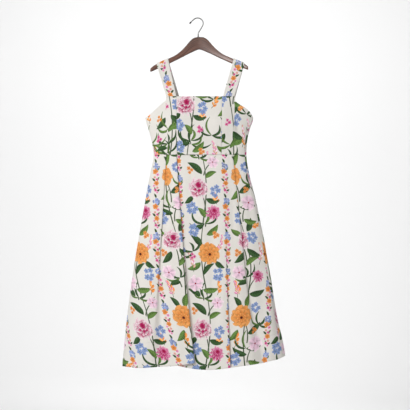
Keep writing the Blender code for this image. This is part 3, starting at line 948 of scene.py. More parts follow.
class PrintLayer:
    """The motifs that one layer of the print puts on each face of a cloth piece."""

    def __init__(self, name: str, motifs: Sequence, empty: Colour) -> None:
        """Takes the layer's attribute name, its motifs, and the place that a bare face is given."""
        self.name = name
        self.motifs = motifs
        self.empty = empty

    def outline(self, motif: object) -> tuple[np.ndarray, float]:
        """Where a motif lies.

        Args:
            motif: The motif.

        Returns:
            Its middle and how far it reaches from there.
        """
        if isinstance(motif, Blade):
            points = np.array(motif.line)
            middle = (points.min(0) + points.max(0)) / 2
            return middle, float(np.linalg.norm(points - middle, axis=1).max()) + motif.half
        reach = motif.radius if isinstance(motif, Bloom) else max(motif.wide, motif.high) + FLORET
        return np.array([motif.u, motif.v]), reach

    def depth(self, motif: object, place: np.ndarray) -> np.ndarray:
        """How far inside a motif its measured points lie, in metres: negative outside.

        Args:
            motif: The motif.
            place: Its measure of the points.

        Returns:
            One depth for each point.
        """
        if isinstance(motif, Blade):
            return place[:, 1] - np.abs(place[:, 0])
        size = motif.radius if isinstance(motif, Bloom) else min(motif.wide, motif.high) + FLORET / 2
        return (1.0 - np.hypot(place[:, 0], place[:, 1])) * size

    def facts(self, motif: object) -> dict[str, Colour]:
        """What a motif tells the shader beside its place.

        Args:
            motif: The motif.

        Returns:
            Values by attribute.
        """
        if isinstance(motif, Blade):
            return {"ink": motif.ink.value}
        if isinstance(motif, Bloom):
            return {
                "form": (motif.petals, motif.notch, motif.ruffle),
                "rings": (motif.middle_ring, motif.inner_ring, motif.heart_size),
                "inner": motif.inner.value,
                "ink": motif.outer.value,
                "heart": motif.heart.value,
            }
        return {"form": (motif.wide, motif.high, 0.0), "ink": motif.outer.value, "heart": motif.heart.value}

    def lay(self, corners: np.ndarray, middles: np.ndarray) -> dict[str, np.ndarray]:
        """The layer's attributes on a cloth piece.

        Args:
            corners: Each face's four corners, in cloth coordinates.
            middles: Each face's middle.

        Returns:
            Values by attribute name: four for each face for the place, and one for the rest.
        """
        count = len(middles)
        place = np.tile(np.array(self.empty), (count, 4, 1))
        deepest = np.full(count, -MARGIN)
        facts: dict[str, np.ndarray] = {}
        low, high = middles.min(0), middles.max(0)
        across, down = np.ascontiguousarray(middles[:, 0]), np.ascontiguousarray(middles[:, 1])
        for motif in self.motifs:
            middle, reach = self.outline(motif)
            told = self.facts(motif)
            first = np.floor((low - middle - reach) / (REPEAT_WIDTH, REPEAT_HEIGHT)).astype(int)
            last = np.ceil((high - middle + reach) / (REPEAT_WIDTH, REPEAT_HEIGHT)).astype(int)
            within = reach + MARGIN
            for i, j in product(range(first[0], last[0] + 1), range(first[1], last[1] + 1)):
                shift = np.array([i * REPEAT_WIDTH, j * REPEAT_HEIGHT])
                u, v = middle + shift
                near = np.nonzero((np.abs(across - u) < within) & (np.abs(down - v) < within))[0]
                if not len(near):
                    continue
                depth = self.depth(motif, motif.measure(middles[near], shift))
                taken = depth > deepest[near]
                near = near[taken]
                if not len(near):
                    continue
                deepest[near] = depth[taken]
                place[near] = motif.measure(corners[near].reshape(-1, 2), shift).reshape(-1, 4, 3)
                for key, value in told.items():
                    facts.setdefault(key, np.zeros((count, 3)))[near] = value
        made = {f"{self.name}_{key}": value for key, value in facts.items()}
        made[self.name] = place.reshape(-1, 3)
        return made


def print_layers(chart: PrintChart) -> list[PrintLayer]:
    """The print's layers, from the lowest up.

    Args:
        chart: The print's repeat.

    Returns:
        Stems, leaves, floret heads and flowers.
    """
    bare_blade = (0.0, -1.0, 0.0)
    bare_round = (FAR, FAR, 0.0)
    layers = [PrintLayer("stem", chart.stems, bare_blade)]
    for k in range(LEAF_LAYERS):
        layers.append(PrintLayer(f"leaf{k}", chart.leaves[k::LEAF_LAYERS], bare_blade))
    layers.append(PrintLayer("head", chart.clusters, bare_round))
    for k in range(BLOOM_LAYERS):
        layers.append(PrintLayer(f"bloom{k}", chart.blooms[k::BLOOM_LAYERS], bare_round))
    return layers


class Graph:
    """A material's nodes, made and joined by short calls. Values are sockets or plain numbers."""

    def __init__(self, name: str) -> None:
        """Makes the material, with its Principled shader."""
        self.material = bpy.data.materials.new(name)
        self.material.use_nodes = True
        self.tree = self.material.node_tree
        self.shader = self.tree.nodes["Principled BSDF"]

    def join(self, socket: Socket, value: object) -> None:
        """Links a socket to another's output, or sets it to a plain value."""
        if isinstance(value, Socket):
            self.tree.links.new(socket, value)
        elif isinstance(value, tuple) and len(value) == 3 and socket.type == "RGBA":
            socket.default_value = (*value, 1.0)
        else:
            socket.default_value = value

    def set(self, name: str, value: object) -> None:
        """Sets or links one of the shader's sockets."""
        self.join(self.shader.inputs[name], value)

    def node(self, kind: str, *values: object) -> bpy.types.Node:
        """A new node of a kind, with its first inputs set or linked."""
        node = self.tree.nodes.new(f"ShaderNode{kind}")
        for socket, value in zip(node.inputs, values):
            self.join(socket, value)
        return node

    def math(self, operation: str, *values: object, clamp: bool = False) -> Socket:
        """A Math node.

        Args:
            operation: Its operation.
            values: Its inputs.
            clamp: Whether the result stays from 0 to 1.

        Returns:
            Its output.
        """
        node = self.node("Math", *values)
        node.operation = operation
        node.use_clamp = clamp
        return node.outputs[0]

    def times(self, value: object, by: object) -> Socket:
        """One value times another."""
        return self.math("MULTIPLY", value, by)

    def scaled(self, value: object, by: object, plus: object) -> Socket:
        """One value times another, with a third added."""
        return self.math("MULTIPLY_ADD", value, by, plus)

    def vector(self, operation: str, *values: object) -> Socket:
        """A Vector Math node's vector."""
        node = self.node("VectorMath", *values)
        node.operation = operation
        return node.outputs[0]

    def split(self, value: Socket) -> tuple:
        """A vector's three parts."""
        return tuple(self.node("SeparateXYZ", value).outputs)

    def length(self, x: object, y: object) -> Socket:
        """How far a place of two parts lies from the middle."""
        return self.math("SQRT", self.scaled(x, x, self.times(y, y)))

    def combine(self, x: object, y: object, z: object = 0.0) -> Socket:
        """A vector from three parts."""
        return self.node("CombineXYZ", x, y, z).outputs[0]

    def attribute(self, name: str) -> Socket:
        """A mesh attribute's vector."""
        node = self.node("Attribute")
        node.attribute_name = name
        return node.outputs["Vector"]

    def uv(self, name: str) -> Socket:
        """A UV map's coordinates."""
        node = self.node("UVMap")
        node.uv_map = name
        return node.outputs[0]

    def place(self) -> Socket:
        """The Object coordinates."""
        return self.node("TexCoord").outputs["Object"]

    def mix(self, share: object, first: object, second: object) -> Socket:
        """A colour between two.

        Args:
            share: How much of the second one.
            first: A colour.
            second: A colour.

        Returns:
            The mixed colour.
        """
        node = self.node("Mix")
        node.data_type = "RGBA"
        for key, value in (("Factor", share), (6, first), (7, second)):
            self.join(node.inputs[key], value)
        return node.outputs[2]

    def shade(self, colour: object, by: object) -> Socket:
        """A colour made lighter or darker: by is what each part is multiplied with."""
        node = self.node("VectorMath", colour)
        node.operation = "SCALE"
        self.join(node.inputs["Scale"], by)
        return node.outputs[0]

    def noise(self, at: object, scale: float, detail: float = 2.0, rough: float = 0.5) -> Socket:
        """A Noise Texture's value.

        Args:
            at: The coordinates.
            scale: How many features there are in a metre or unit.
            detail: How many finer layers it has.
            rough: How strong they are.

        Returns:
            A value from 0 to 1.
        """
        node = self.node("TexNoise", at)
        for name, value in (("Scale", scale), ("Detail", detail), ("Roughness", rough)):
            node.inputs[name].default_value = value
        return node.outputs["Fac"]

    def steps(self, value: object, low: float, high: float) -> Socket:
        """0 below one value, 1 above another and smooth between them."""
        node = self.node("MapRange", value, low, high)
        node.interpolation_type = "SMOOTHSTEP"
        return node.outputs[0]

    def bump(self, height: object, strength: float, distance: float) -> None:
        """Gives the shader a bump by a height, from 0 to 1."""
        node = self.node("Bump", strength, distance)
        self.join(node.inputs["Height"], height)
        self.set("Normal", node.outputs[0])


@dataclass(frozen=True)
class PrintedCloth:
    """Off-white plain weave with the print on its face. The reverse shows it faintly through."""

    name: str
    reverse: bool = False
    threads: float = 1150.0
    slub_along: float = 60.0
    slub_across: float = 900.0
    edge_blur: float = 0.0004
    rib_half: float = 0.0004
    veined_from: float = 0.0045
    stitch: float = 0.0032
    thread_half: float = 0.00035
    thread_shade: float = 0.30
    reverse_pale: float = 0.72
    reverse_tone: float = 0.93
    seam_line: float = 0.0008
    seam_shade: float = 0.06

    def material(self) -> bpy.types.Material:
        """The finish's material.

        Returns:
            A Principled material that reads the cloth coordinates and the print's attributes.
        """
        graph = Graph(self.name)
        cloth = graph.uv("cloth")
        mottle = graph.noise(cloth, 34.0, 3.0, 0.6)
        colour = graph.shade(Ink.GROUND.value, graph.scaled(mottle, 0.05, 0.975))
        wash = graph.scaled(graph.noise(cloth, 260.0), 0.34, 0.83)
        colour = self.stems(graph, colour)
        for k in range(LEAF_LAYERS):
            colour = self.blades(graph, colour, f"leaf{k}", wash)
        colour = self.florets(graph, colour, cloth)
        for k in range(BLOOM_LAYERS):
            colour = self.flowers(graph, colour, f"bloom{k}", wash)
        if self.reverse:
            bare = graph.shade(Ink.GROUND.value, self.reverse_tone)
            colour = graph.mix(self.reverse_pale, colour, bare)
        height = self.weave(graph, cloth)
        colour = self.stitches(graph, colour)
        # The weave's height also darkens the colour in its hollows: painted shade of its relief, beside the
        # bump
        graph.set("Base Color", graph.shade(colour, graph.scaled(height, 0.10, 0.95)))
        graph.set("Roughness", 0.82)
        graph.set("Specular IOR Level", 0.25)
        graph.set("Sheen Weight", 0.12)
        graph.set("Sheen Roughness", 0.45)
        graph.bump(height, 0.35, 0.0004)
        return graph.material

    def inside(self, graph: Graph, depth: object) -> Socket:
        """A mask from a depth in metres: 0 outside, 1 inside, with a slightly soft inked edge."""
        return graph.steps(depth, -self.edge_blur, self.edge_blur)

    def stems(self, graph: Graph, under: object) -> Socket:
        """Draws the stems over a colour."""
        across, half, _ = graph.split(graph.attribute("stem"))
        mask = self.inside(graph, graph.math("SUBTRACT", half, graph.math("ABSOLUTE", across)))
        light = graph.scaled(graph.math("GREATER_THAN", across, 0.0), 0.5, 0.8)
        return graph.mix(mask, under, graph.shade(Ink.STEM.value, light))

    def blades(self, graph: Graph, under: object, layer: str, wash: object) -> Socket:
        """Draws a layer of leaves and buds over a colour: each has a lighter half, a rib and side veins.

        Args:
            graph: The material's nodes.
            under: The colour below.
            layer: The layer's attribute.
            wash: Uneven lightness of the ink.

        Returns:
            The colour with the layer on it.
        """
        across, half, along = graph.split(graph.attribute(layer))
        reach = graph.math("ABSOLUTE", across)
        mask = self.inside(graph, graph.math("SUBTRACT", half, reach))
        sunny = graph.math("GREATER_THAN", across, 0.0)
        rib = graph.math("LESS_THAN", reach, self.rib_half)
        vein_place = graph.scaled(reach, -420.0, graph.times(along, 46.0))
        vein = graph.math("GREATER_THAN", graph.math("SINE", vein_place), 0.86)
        wide = graph.math("GREATER_THAN", half, self.veined_from)
        lines = graph.times(graph.math("MAXIMUM", rib, vein), wide)
        light = graph.scaled(sunny, 0.42, 0.78)
        light = graph.scaled(lines, 0.65, light)
        ink = graph.shade(graph.attribute(f"{layer}_ink"), graph.times(light, wash))
        return graph.mix(mask, under, ink)

    def florets(self, graph: Graph, under: object, cloth: object) -> Socket:
        """Draws the heads of small florets over a colour.

        Args:
            graph: The material's nodes.
            under: The colour below.
            cloth: The cloth coordinates.

        Returns:
            The colour with the florets on it.
        """
        at = graph.vector("MULTIPLY", cloth, (1 / FLORET, 1 / FLORET, 0.0))
        cells = graph.node("TexVoronoi")
        cells.voronoi_dimensions = "2D"
        cells.inputs["Scale"].default_value = 1.0
        cells.inputs["Randomness"].default_value = 0.62
        graph.join(cells.inputs["Vector"], at)
        away = graph.vector("SUBTRACT", at, cells.outputs["Position"])
        x, y, _ = graph.split(away)
        wide, high, _ = graph.split(graph.attribute("head_form"))
        here_x, here_y, _ = graph.split(graph.attribute("head"))
        middle_x = graph.scaled(graph.math("DIVIDE", x, wide), -FLORET, here_x)
        middle_y = graph.scaled(graph.math("DIVIDE", y, high), -FLORET, here_y)
        within = graph.math("LESS_THAN", graph.length(middle_x, middle_y), 1.0)
        distance = cells.outputs["Distance"]
        angle = graph.math("ARCTAN2", y, x)
        tone, spin, _ = graph.split(cells.outputs["Color"])
        lobes = graph.math("COSINE", graph.scaled(angle, 5.0, graph.times(spin, 6.28)))
        edge = graph.scaled(lobes, 0.12, 0.56)
        mask = graph.times(within, graph.math("LESS_THAN", distance, edge))
        fill = graph.scaled(tone, 0.75, 0.55)
        fill = graph.scaled(graph.times(distance, distance), 1.3, fill)
        ink = graph.shade(graph.attribute("head_ink"), fill)
        heart = graph.math("LESS_THAN", distance, 0.12)
        ink = graph.mix(heart, ink, graph.attribute("head_heart"))
        return graph.mix(mask, under, ink)

    def flowers(self, graph: Graph, under: object, layer: str, wash: object) -> Socket:
        """Draws a layer of flowers over a colour, from the outer ring of petals to the heart.

        Args:
            graph: The material's nodes.
            under: The colour below.
            layer: The layer's attribute.
            wash: Uneven lightness of the ink.

        Returns:
            The colour with the flowers on it.
        """
        here = graph.attribute(layer)
        x, y, lean = graph.split(here)
        petals, notch, ruffle = graph.split(graph.attribute(f"{layer}_form"))
        rings = graph.attribute(f"{layer}_rings")
        middle_ring, inner_ring, heart_size = graph.split(rings)
        own = graph.vector("ADD", here, graph.shade(rings, 9.0))
        wobble = graph.times(graph.math("SUBTRACT", graph.noise(own, 2.6), 0.5), ruffle)
        ink = graph.attribute(f"{layer}_ink")
        inner = graph.attribute(f"{layer}_inner")
        colour = under
        for k, share in enumerate((1.0, middle_ring, inner_ring)):
            lifted = graph.scaled(lean, float(k), y)
            reach = graph.length(x, lifted)
            reach = graph.scaled(graph.times(reach, wobble), 1.6, reach)
            angle = graph.scaled(wobble, 5.0, graph.math("ARCTAN2", lifted, x))
            turned = graph.scaled(graph.times(angle, petals), 0.5, k * math.pi / 2)
            petal = graph.math("SQRT", graph.math("ABSOLUTE", graph.math("COSINE", turned)))
            cut = graph.scaled(graph.math("SUBTRACT", petal, 1.0), notch, 1.0)
            rim = graph.times(cut, share)
            mask = graph.steps(graph.math("SUBTRACT", rim, reach), 0.0, 0.03)
            outward = graph.math("DIVIDE", reach, graph.math("MAXIMUM", rim, 0.05), clamp=True)
            streak = graph.noise(graph.combine(turned, graph.times(outward, 0.7), share), 1.7, 1.0)
            fade = graph.scaled(graph.math("SUBTRACT", streak, 0.5), 0.8, outward)
            fade = graph.steps(fade, 0.50, 1.06)
            crease = graph.scaled(petal, 0.50, 0.56)
            tint = graph.shade(graph.mix(fade, inner, ink), graph.times(crease, wash))
            colour = graph.mix(mask, colour, tint)
        middle = graph.length(x, graph.scaled(lean, 2.0, y))
        heart = graph.math("LESS_THAN", middle, heart_size)
        return graph.mix(heart, colour, graph.attribute(f"{layer}_heart"))

    def weave(self, graph: Graph, cloth: object) -> Socket:
        """The relief of a plain weave with slubby threads.

        Args:
            graph: The material's nodes.
            cloth: The cloth coordinates.

        Returns:
            Its height, from 0 to 1.
        """
        u, v, _ = graph.split(cloth)
        slub_u, slub_v = (
            graph.noise(graph.combine(graph.times(u, across), graph.times(v, down)), 1.0, 1.0)
            for across, down in ((self.slub_along, self.slub_across), (self.slub_across, self.slub_along))
        )
        warp, weft = (graph.math("SINE", graph.times(way, 2 * math.pi * self.threads)) for way in (u, v))
        checks = graph.times(graph.times(warp, weft), 0.18)
        return graph.scaled(graph.math("ADD", slub_u, slub_v), 0.5, checks)

    def stitches(self, graph: Graph, colour: object) -> Socket:
        """Darkens the row of stitches along finished edges and the pressed line of each seam.

        Args:
            graph: The material's nodes.
            colour: The cloth's colour.

        Returns:
            The darkened colour.
        """
        from_edge, run, from_seam = graph.split(graph.attribute("finish"))
        row = graph.math("COMPARE", from_edge, STITCH_AT, self.thread_half)
        wave = graph.math("SINE", graph.times(run, 2 * math.pi / self.stitch))
        thread = graph.times(graph.times(row, graph.math("GREATER_THAN", wave, -0.35)), self.thread_shade)
        seam = graph.times(graph.math("LESS_THAN", from_seam, self.seam_line), self.seam_shade)
        return graph.shade(colour, graph.math("SUBTRACT", 1.0, graph.math("MAXIMUM", thread, seam)))


# Soft creases in the dress's frame: where each starts and ends, how wide it is, and its height, which is
# negative in a trough
Crease = namedtuple("Crease", "x z end_x end_z width height")
FRONT_CREASES = table(
    Crease,
    (-0.196, -0.700, -0.232, -1.040, 0.017, -0.0035),
    (-0.176, -0.600, -0.190, -0.760, 0.010, 0.0020),
    (-0.112, -0.590, -0.128, -0.800, 0.011, -0.0022),
    (-0.122, -0.760, -0.112, -1.120, 0.018, 0.0036),
    (-0.238, -1.010, -0.268, -1.400, 0.024, 0.0050),
    (-0.150, -1.020, -0.158, -1.410, 0.022, -0.0044),
    (-0.088, -1.130, -0.076, -1.410, 0.018, 0.0040),
    (-0.040, -0.570, -0.028, -0.760, 0.012, -0.0018),
    (0.004, -0.600, 0.014, -0.980, 0.020, 0.0026),
    (0.046, -0.720, 0.058, -1.200, 0.022, -0.0038),
    (0.022, -1.080, 0.030, -1.420, 0.026, 0.0050),
    (0.084, -1.000, 0.094, -1.410, 0.018, 0.0036),
    (0.128, -0.640, 0.140, -0.960, 0.012, -0.0026),
    (0.158, -0.900, 0.170, -1.410, 0.018, 0.0040),
    (0.190, -0.620, 0.214, -0.900, 0.012, -0.0024),
    (0.236, -0.900, 0.262, -1.390, 0.022, -0.0046),
    (0.268, -1.060, 0.304, -1.380, 0.018, 0.0040),
    (-0.020, -1.290, 0.060, -1.262, 0.010, 0.0012),
    (-0.240, -1.296, -0.170, -1.306, 0.009, 0.0010),
    (0.170, -0.640, 0.196, -0.590, 0.007, 0.0012),
    (-0.180, -0.640, -0.150, -0.580, 0.007, -0.0012),
)
BACK_CREASES = table(
    Crease,
    (-0.206, -0.680, -0.236, -1.000, 0.016, -0.0034),
    (-0.150, -0.590, -0.162, -0.820, 0.011, 0.0022),
    (-0.128, -0.860, -0.132, -1.390, 0.020, -0.0042),
    (-0.244, -1.060, -0.270, -1.390, 0.022, 0.0046),
    (-0.052, -0.580, -0.044, -0.800, 0.012, 0.0020),
    (-0.060, -0.960, -0.072, -1.390, 0.022, 0.0044),
    (-0.006, -0.660, 0.004, -1.060, 0.020, -0.0030),
    (0.014, -1.060, 0.020, -1.390, 0.024, 0.0050),
    (0.060, -0.800, 0.066, -1.240, 0.018, -0.0034),
    (0.118, -0.640, 0.130, -0.940, 0.012, 0.0024),
    (0.148, -0.960, 0.162, -1.390, 0.020, -0.0042),
    (0.206, -0.700, 0.226, -1.010, 0.014, -0.0026),
    (0.236, -1.020, 0.262, -1.370, 0.022, 0.0044),
    (0.290, -1.120, 0.310, -1.370, 0.016, -0.0034),
)
FRONT_BODICE_CREASES = table(
    Crease,
    (0.146, -0.396, 0.157, -0.470, 0.008, -0.0034),
    (0.157, -0.464, 0.134, -0.552, 0.009, -0.0030),
    (0.128, -0.400, 0.142, -0.500, 0.010, 0.0022),
    (0.178, -0.430, 0.172, -0.530, 0.008, 0.0018),
    (0.120, -0.336, 0.158, -0.392, 0.007, -0.0013),
    (-0.186, -0.420, -0.150, -0.470, 0.008, -0.0016),
    (-0.170, -0.470, -0.150, -0.548, 0.008, 0.0018),
    (-0.126, -0.340, -0.150, -0.390, 0.007, 0.0010),
    (-0.118, -0.480, -0.112, -0.548, 0.007, -0.0012),
    (-0.060, -0.500, -0.050, -0.550, 0.007, 0.0010),
    (0.030, -0.490, 0.036, -0.550, 0.008, -0.0012),
    (0.066, -0.470, 0.060, -0.548, 0.008, 0.0012),
    (-0.070, -0.330, -0.020, -0.352, 0.006, 0.0008),
)
BACK_BODICE_CREASES = table(
    Crease,
    (0.150, -0.430, 0.140, -0.540, 0.009, -0.0022),
    (0.176, -0.420, 0.120, -0.452, 0.008, 0.0014),
    (0.092, -0.480, 0.088, -0.550, 0.008, 0.0014),
    (0.020, -0.440, 0.012, -0.546, 0.012, -0.0016),
    (-0.050, -0.470, -0.056, -0.550, 0.009, 0.0014),
    (-0.110, -0.400, -0.126, -0.540, 0.010, -0.0020),
    (-0.176, -0.430, -0.150, -0.500, 0.008, 0.0016),
)
RUMPLE = 0.00045
SEAM_DIP = 0.0005
SEAM_REACH = 0.0026


def creased(points: np.ndarray, creases: Iterable[Crease], seed: int) -> np.ndarray:
    """The points of a cloth piece, moved along its normals by its creases and a faint overall rumple.

    Args:
        points: The piece's points, by row and column, in the dress's frame.
        creases: Its creases.
        seed: Makes its rumple its own.

    Returns:
        The moved points.
    """
    x, z = points[..., 0], points[..., 2]
    height = np.zeros_like(x)
    for row in creases:
        run = np.array([row.end_x - row.x, row.end_z - row.z])
        length = float(np.linalg.norm(run))
        run = run / length
        along = ((x - row.x) * run[0] + (z - row.z) * run[1]) / length
        across = (x - row.x) * run[1] - (z - row.z) * run[0]
        window = np.where((along > 0) & (along < 1), np.sin(np.pi * np.clip(along, 0, 1)) ** 1.2, 0.0)
        height += row.height * window * np.exp(-((across / row.width) ** 2))
    draw = random.Random(seed)
    for _ in range(9):
        wave_x, wave_z = draw.uniform(-70, 70), draw.uniform(-40, 40)
        size, phase = draw.uniform(0.3, 1.0), draw.uniform(0, 6.28)
        height += RUMPLE * size * np.sin(wave_x * x + wave_z * z + phase) / 2
    return points + normals_of(points) * height[..., None]


def run_across(points: np.ndarray) -> np.ndarray:
    """How far along its row each point lies from the row's start."""
    run = np.linalg.norm(np.diff(points, axis=1), axis=-1)
    return np.hstack([np.zeros((len(points), 1)), np.cumsum(run, axis=1)])


def normals_of(points: np.ndarray) -> np.ndarray:
    """Unit normals of a grid of points, on the side that faces outwards."""
    down = np.gradient(points, axis=0)
    across = np.gradient(points, axis=1)
    normal = np.cross(down, across)
    return normal / np.maximum(np.linalg.norm(normal, axis=-1, keepdims=True), 1e-12)


class Border(Enum):
    """How a cloth piece's side is finished."""

    SEAM = "seam"
    EDGE = "edge"
    HEM = "hem"
    PLAIN = "plain"


@dataclass
class ClothPiece:
    """A piece of the dress: a grid of points with cloth coordinates, and how its four sides end."""

    name: str
    points: np.ndarray
    cloth: np.ndarray
    wall: float
    chart: PrintChart
    top: Border = Border.PLAIN
    bottom: Border = Border.PLAIN
    left: Border = Border.PLAIN
    right: Border = Border.PLAIN

    def side_distances(self) -> dict[str, np.ndarray]:
        """How far each point lies from the piece's four sides, along the grid's lines."""
        top = run_across(self.points.swapaxes(0, 1)).T
        left = run_across(self.points)
        return {"top": top, "bottom": top[-1:] - top, "left": left, "right": left[:, -1:] - left}

    def finishing(self) -> tuple[np.ndarray, np.ndarray]:
        """What the stitches need at each point: distance from an edge, run along it, distance from a seam.

        Returns:
            Those three values for each point, and the distance from the nearest seam on its own.
        """
        distances = self.side_distances()
        from_edge = np.ones(self.points.shape[:2])
        from_seam = np.ones(self.points.shape[:2])
        run = np.zeros(self.points.shape[:2])
        for side in ("top", "bottom", "left", "right"):
            border = getattr(self, side)
            away = distances[side]
            lengthwise = self.cloth[..., 0 if side in ("top", "bottom") else 1]
            if border is Border.EDGE:
                run = np.where(away < from_edge, lengthwise, run)
                from_edge = np.minimum(from_edge, away)
            elif border is Border.HEM:
                from_edge = away - HEM_DEPTH + STITCH_AT
                run = lengthwise
            elif border is Border.SEAM:
                from_seam = np.minimum(from_seam, away)
        return np.stack([from_edge, run, from_seam], axis=-1), from_seam

    def build(self, finishes: Sequence[bpy.types.Material]) -> bpy.types.Object:
        """Makes the piece's shell and prints it.

        Args:
            finishes: The cloth's face and its reverse.

        Returns:
            The shell, riding on the body and replacing its node.
        """
        finish, from_seam = self.finishing()
        dip = SEAM_DIP * np.exp(-((from_seam / SEAM_REACH) ** 2))
        points = self.points - normals_of(self.points) * dip[..., None]
        points = points + np.array([CENTRE_X, DRESS_Y, 0.0])
        rows, columns = points.shape[0] - 1, points.shape[1] - 1
        bm = bmesh.new()
        bmesh.ops.create_grid(bm, x_segments=columns, y_segments=rows, size=0.5)
        order = []
        for vertex in bm.verts:
            column = round((vertex.co.x + 0.5) * columns)
            row = round((0.5 - vertex.co.y) * rows)
            vertex.co = points[row, column]
            order.append((row, column))
        made = new_object(f"{self.name}_cloth", bm, finishes[0])
        made.data.materials.append(finishes[1])
        where = np.array(order)
        self.paint(made.data, where, finish)
        wall = made.modifiers.new("Wall", "SOLIDIFY")
        wall.thickness = self.wall
        wall.offset = 0.0
        wall.material_offset = 1
        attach(made, "root")
        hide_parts(self.name)
        return made

    def paint(self, mesh: bpy.types.Mesh, where: np.ndarray, finish: np.ndarray) -> None:
        """Writes the cloth coordinates, the finishing and the print on the mesh.

        Args:
            mesh: The piece's mesh.
            where: Each vertex's row and column.
            finish: The finishing values by row and column.
        """
        corner_vertex = np.zeros(len(mesh.loops), dtype=np.int64)
        mesh.loops.foreach_get("vertex_index", corner_vertex)
        at = self.cloth[where[:, 0], where[:, 1]]
        corners = at[corner_vertex].reshape(-1, 4, 2)
        layer = mesh.uv_layers.new(name="cloth")
        layer.uv.foreach_set("vector", corners.reshape(-1))
        made = mesh.attributes.new("finish", "FLOAT_VECTOR", "POINT")
        made.data.foreach_set("vector", finish[where[:, 0], where[:, 1]].reshape(-1))
        for part in print_layers(self.chart):
            for name, values in part.lay(corners, corners.mean(1)).items():
                domain = "CORNER" if len(values) == len(corner_vertex) else "FACE"
                made = mesh.attributes.new(name, "FLOAT_VECTOR", domain)
                made.data.foreach_set("vector", values.reshape(-1))


def close_ends(length: float) -> list[float]:
    """Shares of a length, a cell apart, with closer ones near both ends for the seams' dips."""
    near = (0.0, *(away / length for away in BESIDE_SEAM))
    return filled([*near, *(1 - share for share in reversed(near))], CELL / length)


def laid_out(points: np.ndarray, middle: int, shift: tuple[float, float], top: float) -> np.ndarray:
    """Cloth coordinates of a piece: u runs along each row from a middle column, v is how far down it hangs.

    Args:
        points: The piece's points by row and column.
        middle: The column where u is 0.
        shift: What is added to u and v to lay the print.
        top: The height where v is 0.

    Returns:
        u and v by row and column.
    """
    u = run_across(points)
    u = u - u[:, middle : middle + 1]
    v = top - points[..., 2]
    return np.stack([u + shift[0], v + shift[1]], axis=-1)


@dataclass
class Bodice:
    """The fitted bodice: a middle front, two side fronts and a back."""

    chart: PrintChart
    wall: float = 0.0011
    centre_shift: tuple[float, float] = (0.316, 0.098)
    left_shift: tuple[float, float] = (0.128, 0.300)
    right_shift: tuple[float, float] = (0.060, 0.236)
    back_shift: tuple[float, float] = (0.250, 0.420)

    def sewn(self, name: str, points: np.ndarray, cloth: np.ndarray) -> ClothPiece:
        """A piece with a finished top edge that is sewn on its other sides."""
        return ClothPiece(name, points, cloth, self.wall, self.chart, Border.EDGE, *[Border.SEAM] * 3)

    def centre(self) -> ClothPiece:
        """The middle front panel, between the princess seams.

        Returns:
            The piece.
        """
        length = TOP_Z - WAIST_Z
        across = close_ends(2 * PRINCESS_TOP_X)
        down = close_ends(length)

        def place(share: float, row: float) -> Vector:
            """The panel's point, by shares across from the left and down from the top."""
            z = TOP_Z + (WAIST_Z + SEAM_GAP / 2 - TOP_Z) * row
            half = princess_x(z) - SEAM_GAP / 2
            return body_point(Ring.at(z).turn(half * (2 * share - 1)), z)

        points = np.array([[place(share, row) for share in across] for row in down])
        cloth = laid_out(points, len(across) // 2, self.centre_shift, TOP_Z)
        return self.sewn("bodice_front_centre", creased(points, FRONT_BODICE_CREASES, 1), cloth)

    def side(self, side: int) -> ClothPiece:
        """A side front panel, from its princess seam to the side seam.

        Args:
            side: -1 for the left one and 1 for the right one.

        Returns:
            The piece.
        """
        seam = math.radians(RIGHT_SEAM if side > 0 else -90)
        first, last = PRINCESS_TOP_X, UNDERARM_X * abs(math.sin(seam))
        edge = strap_on(side).front_out
        start = edge + STRAP_EDGE
        tops = filled([first, *(first + away for away in BESIDE_SEAM), edge], CELL)
        shares = (0, 0.2, 0.42, 0.66, 0.86, 0.97, 0.99, 0.996, 0.999, 1)
        tops += filled([start + (last - start) * share for share in shares], CELL)
        down = close_ends(TOP_Z - WAIST_Z)

        def place(top: float, row: float) -> Vector:
            """The panel's point, by its line's distance from the middle at the top, and share down."""
            top_z = armhole_z(top, edge, TOP_Z, side)
            z = top_z + (WAIST_Z + SEAM_GAP / 2 - top_z) * row
            if top == tops[-1]:
                return seam_point(seam, z, -side)
            share = (top - first) / (last - first)
            inner = math.sin(Ring.at(z).turn(side * (princess_x(z) + SEAM_GAP / 2)))
            return body_point(math.asin(inner + (math.sin(seam) - inner) * share), z)

        columns = tops if side > 0 else tops[::-1]
        points = np.array([[place(top, row) for top in columns] for row in down])
        shift = self.right_shift if side > 0 else self.left_shift
        middle = 0 if side > 0 else len(tops) - 1
        cloth = laid_out(points, middle, shift, TOP_Z)
        name = "bodice_front_right" if side > 0 else "bodice_front_left"
        return self.sewn(name, creased(points, FRONT_BODICE_CREASES, 2 + side), cloth)

    def back(self) -> ClothPiece:
        """The back panel, from the right side seam round to the left one.

        Returns:
            The piece.
        """
        half = UNDERARM_X
        angles = [math.radians(degrees) for degrees in (RIGHT_SEAM, 75.2, 82, 90)]
        for side in (1, -1):
            edge = strap_on(side).back_out
            shares = (0.9975, 0.98, 0.93, 0.82, (edge + STRAP_EDGE) / half, edge / half, 0.49, 0.30, 0.10)
            turns = [math.pi - side * math.asin(share) for share in shares]
            angles += turns if side > 0 else turns[::-1]
        angles += [math.radians(269.3), 1.5 * math.pi]
        angles = filled(angles, CELL / 0.2)
        down = close_ends(BACK_TOP_Z - WAIST_Z)

        def place(angle: float, row: float) -> Vector:
            """The panel's point, by angle round the body and share down from the top."""
            edge = strap_on(math.sin(angle)).back_out
            top_z = armhole_z(abs(half * math.sin(angle)), edge + 1e-6, BACK_TOP_Z, math.sin(angle))
            z = top_z + (WAIST_Z + SEAM_GAP / 2 - top_z) * row
            if angle in (angles[0], angles[-1]):
                return seam_point(angle, z, 1 if angle == angles[0] else -1)
            return body_point(angle, z)

        points = np.array([[place(angle, row) for angle in angles] for row in down])
        cloth = laid_out(points, len(angles) // 2, self.back_shift, BACK_TOP_Z)
        return self.sewn("bodice_back", creased(points, BACK_BODICE_CREASES, 5), cloth)


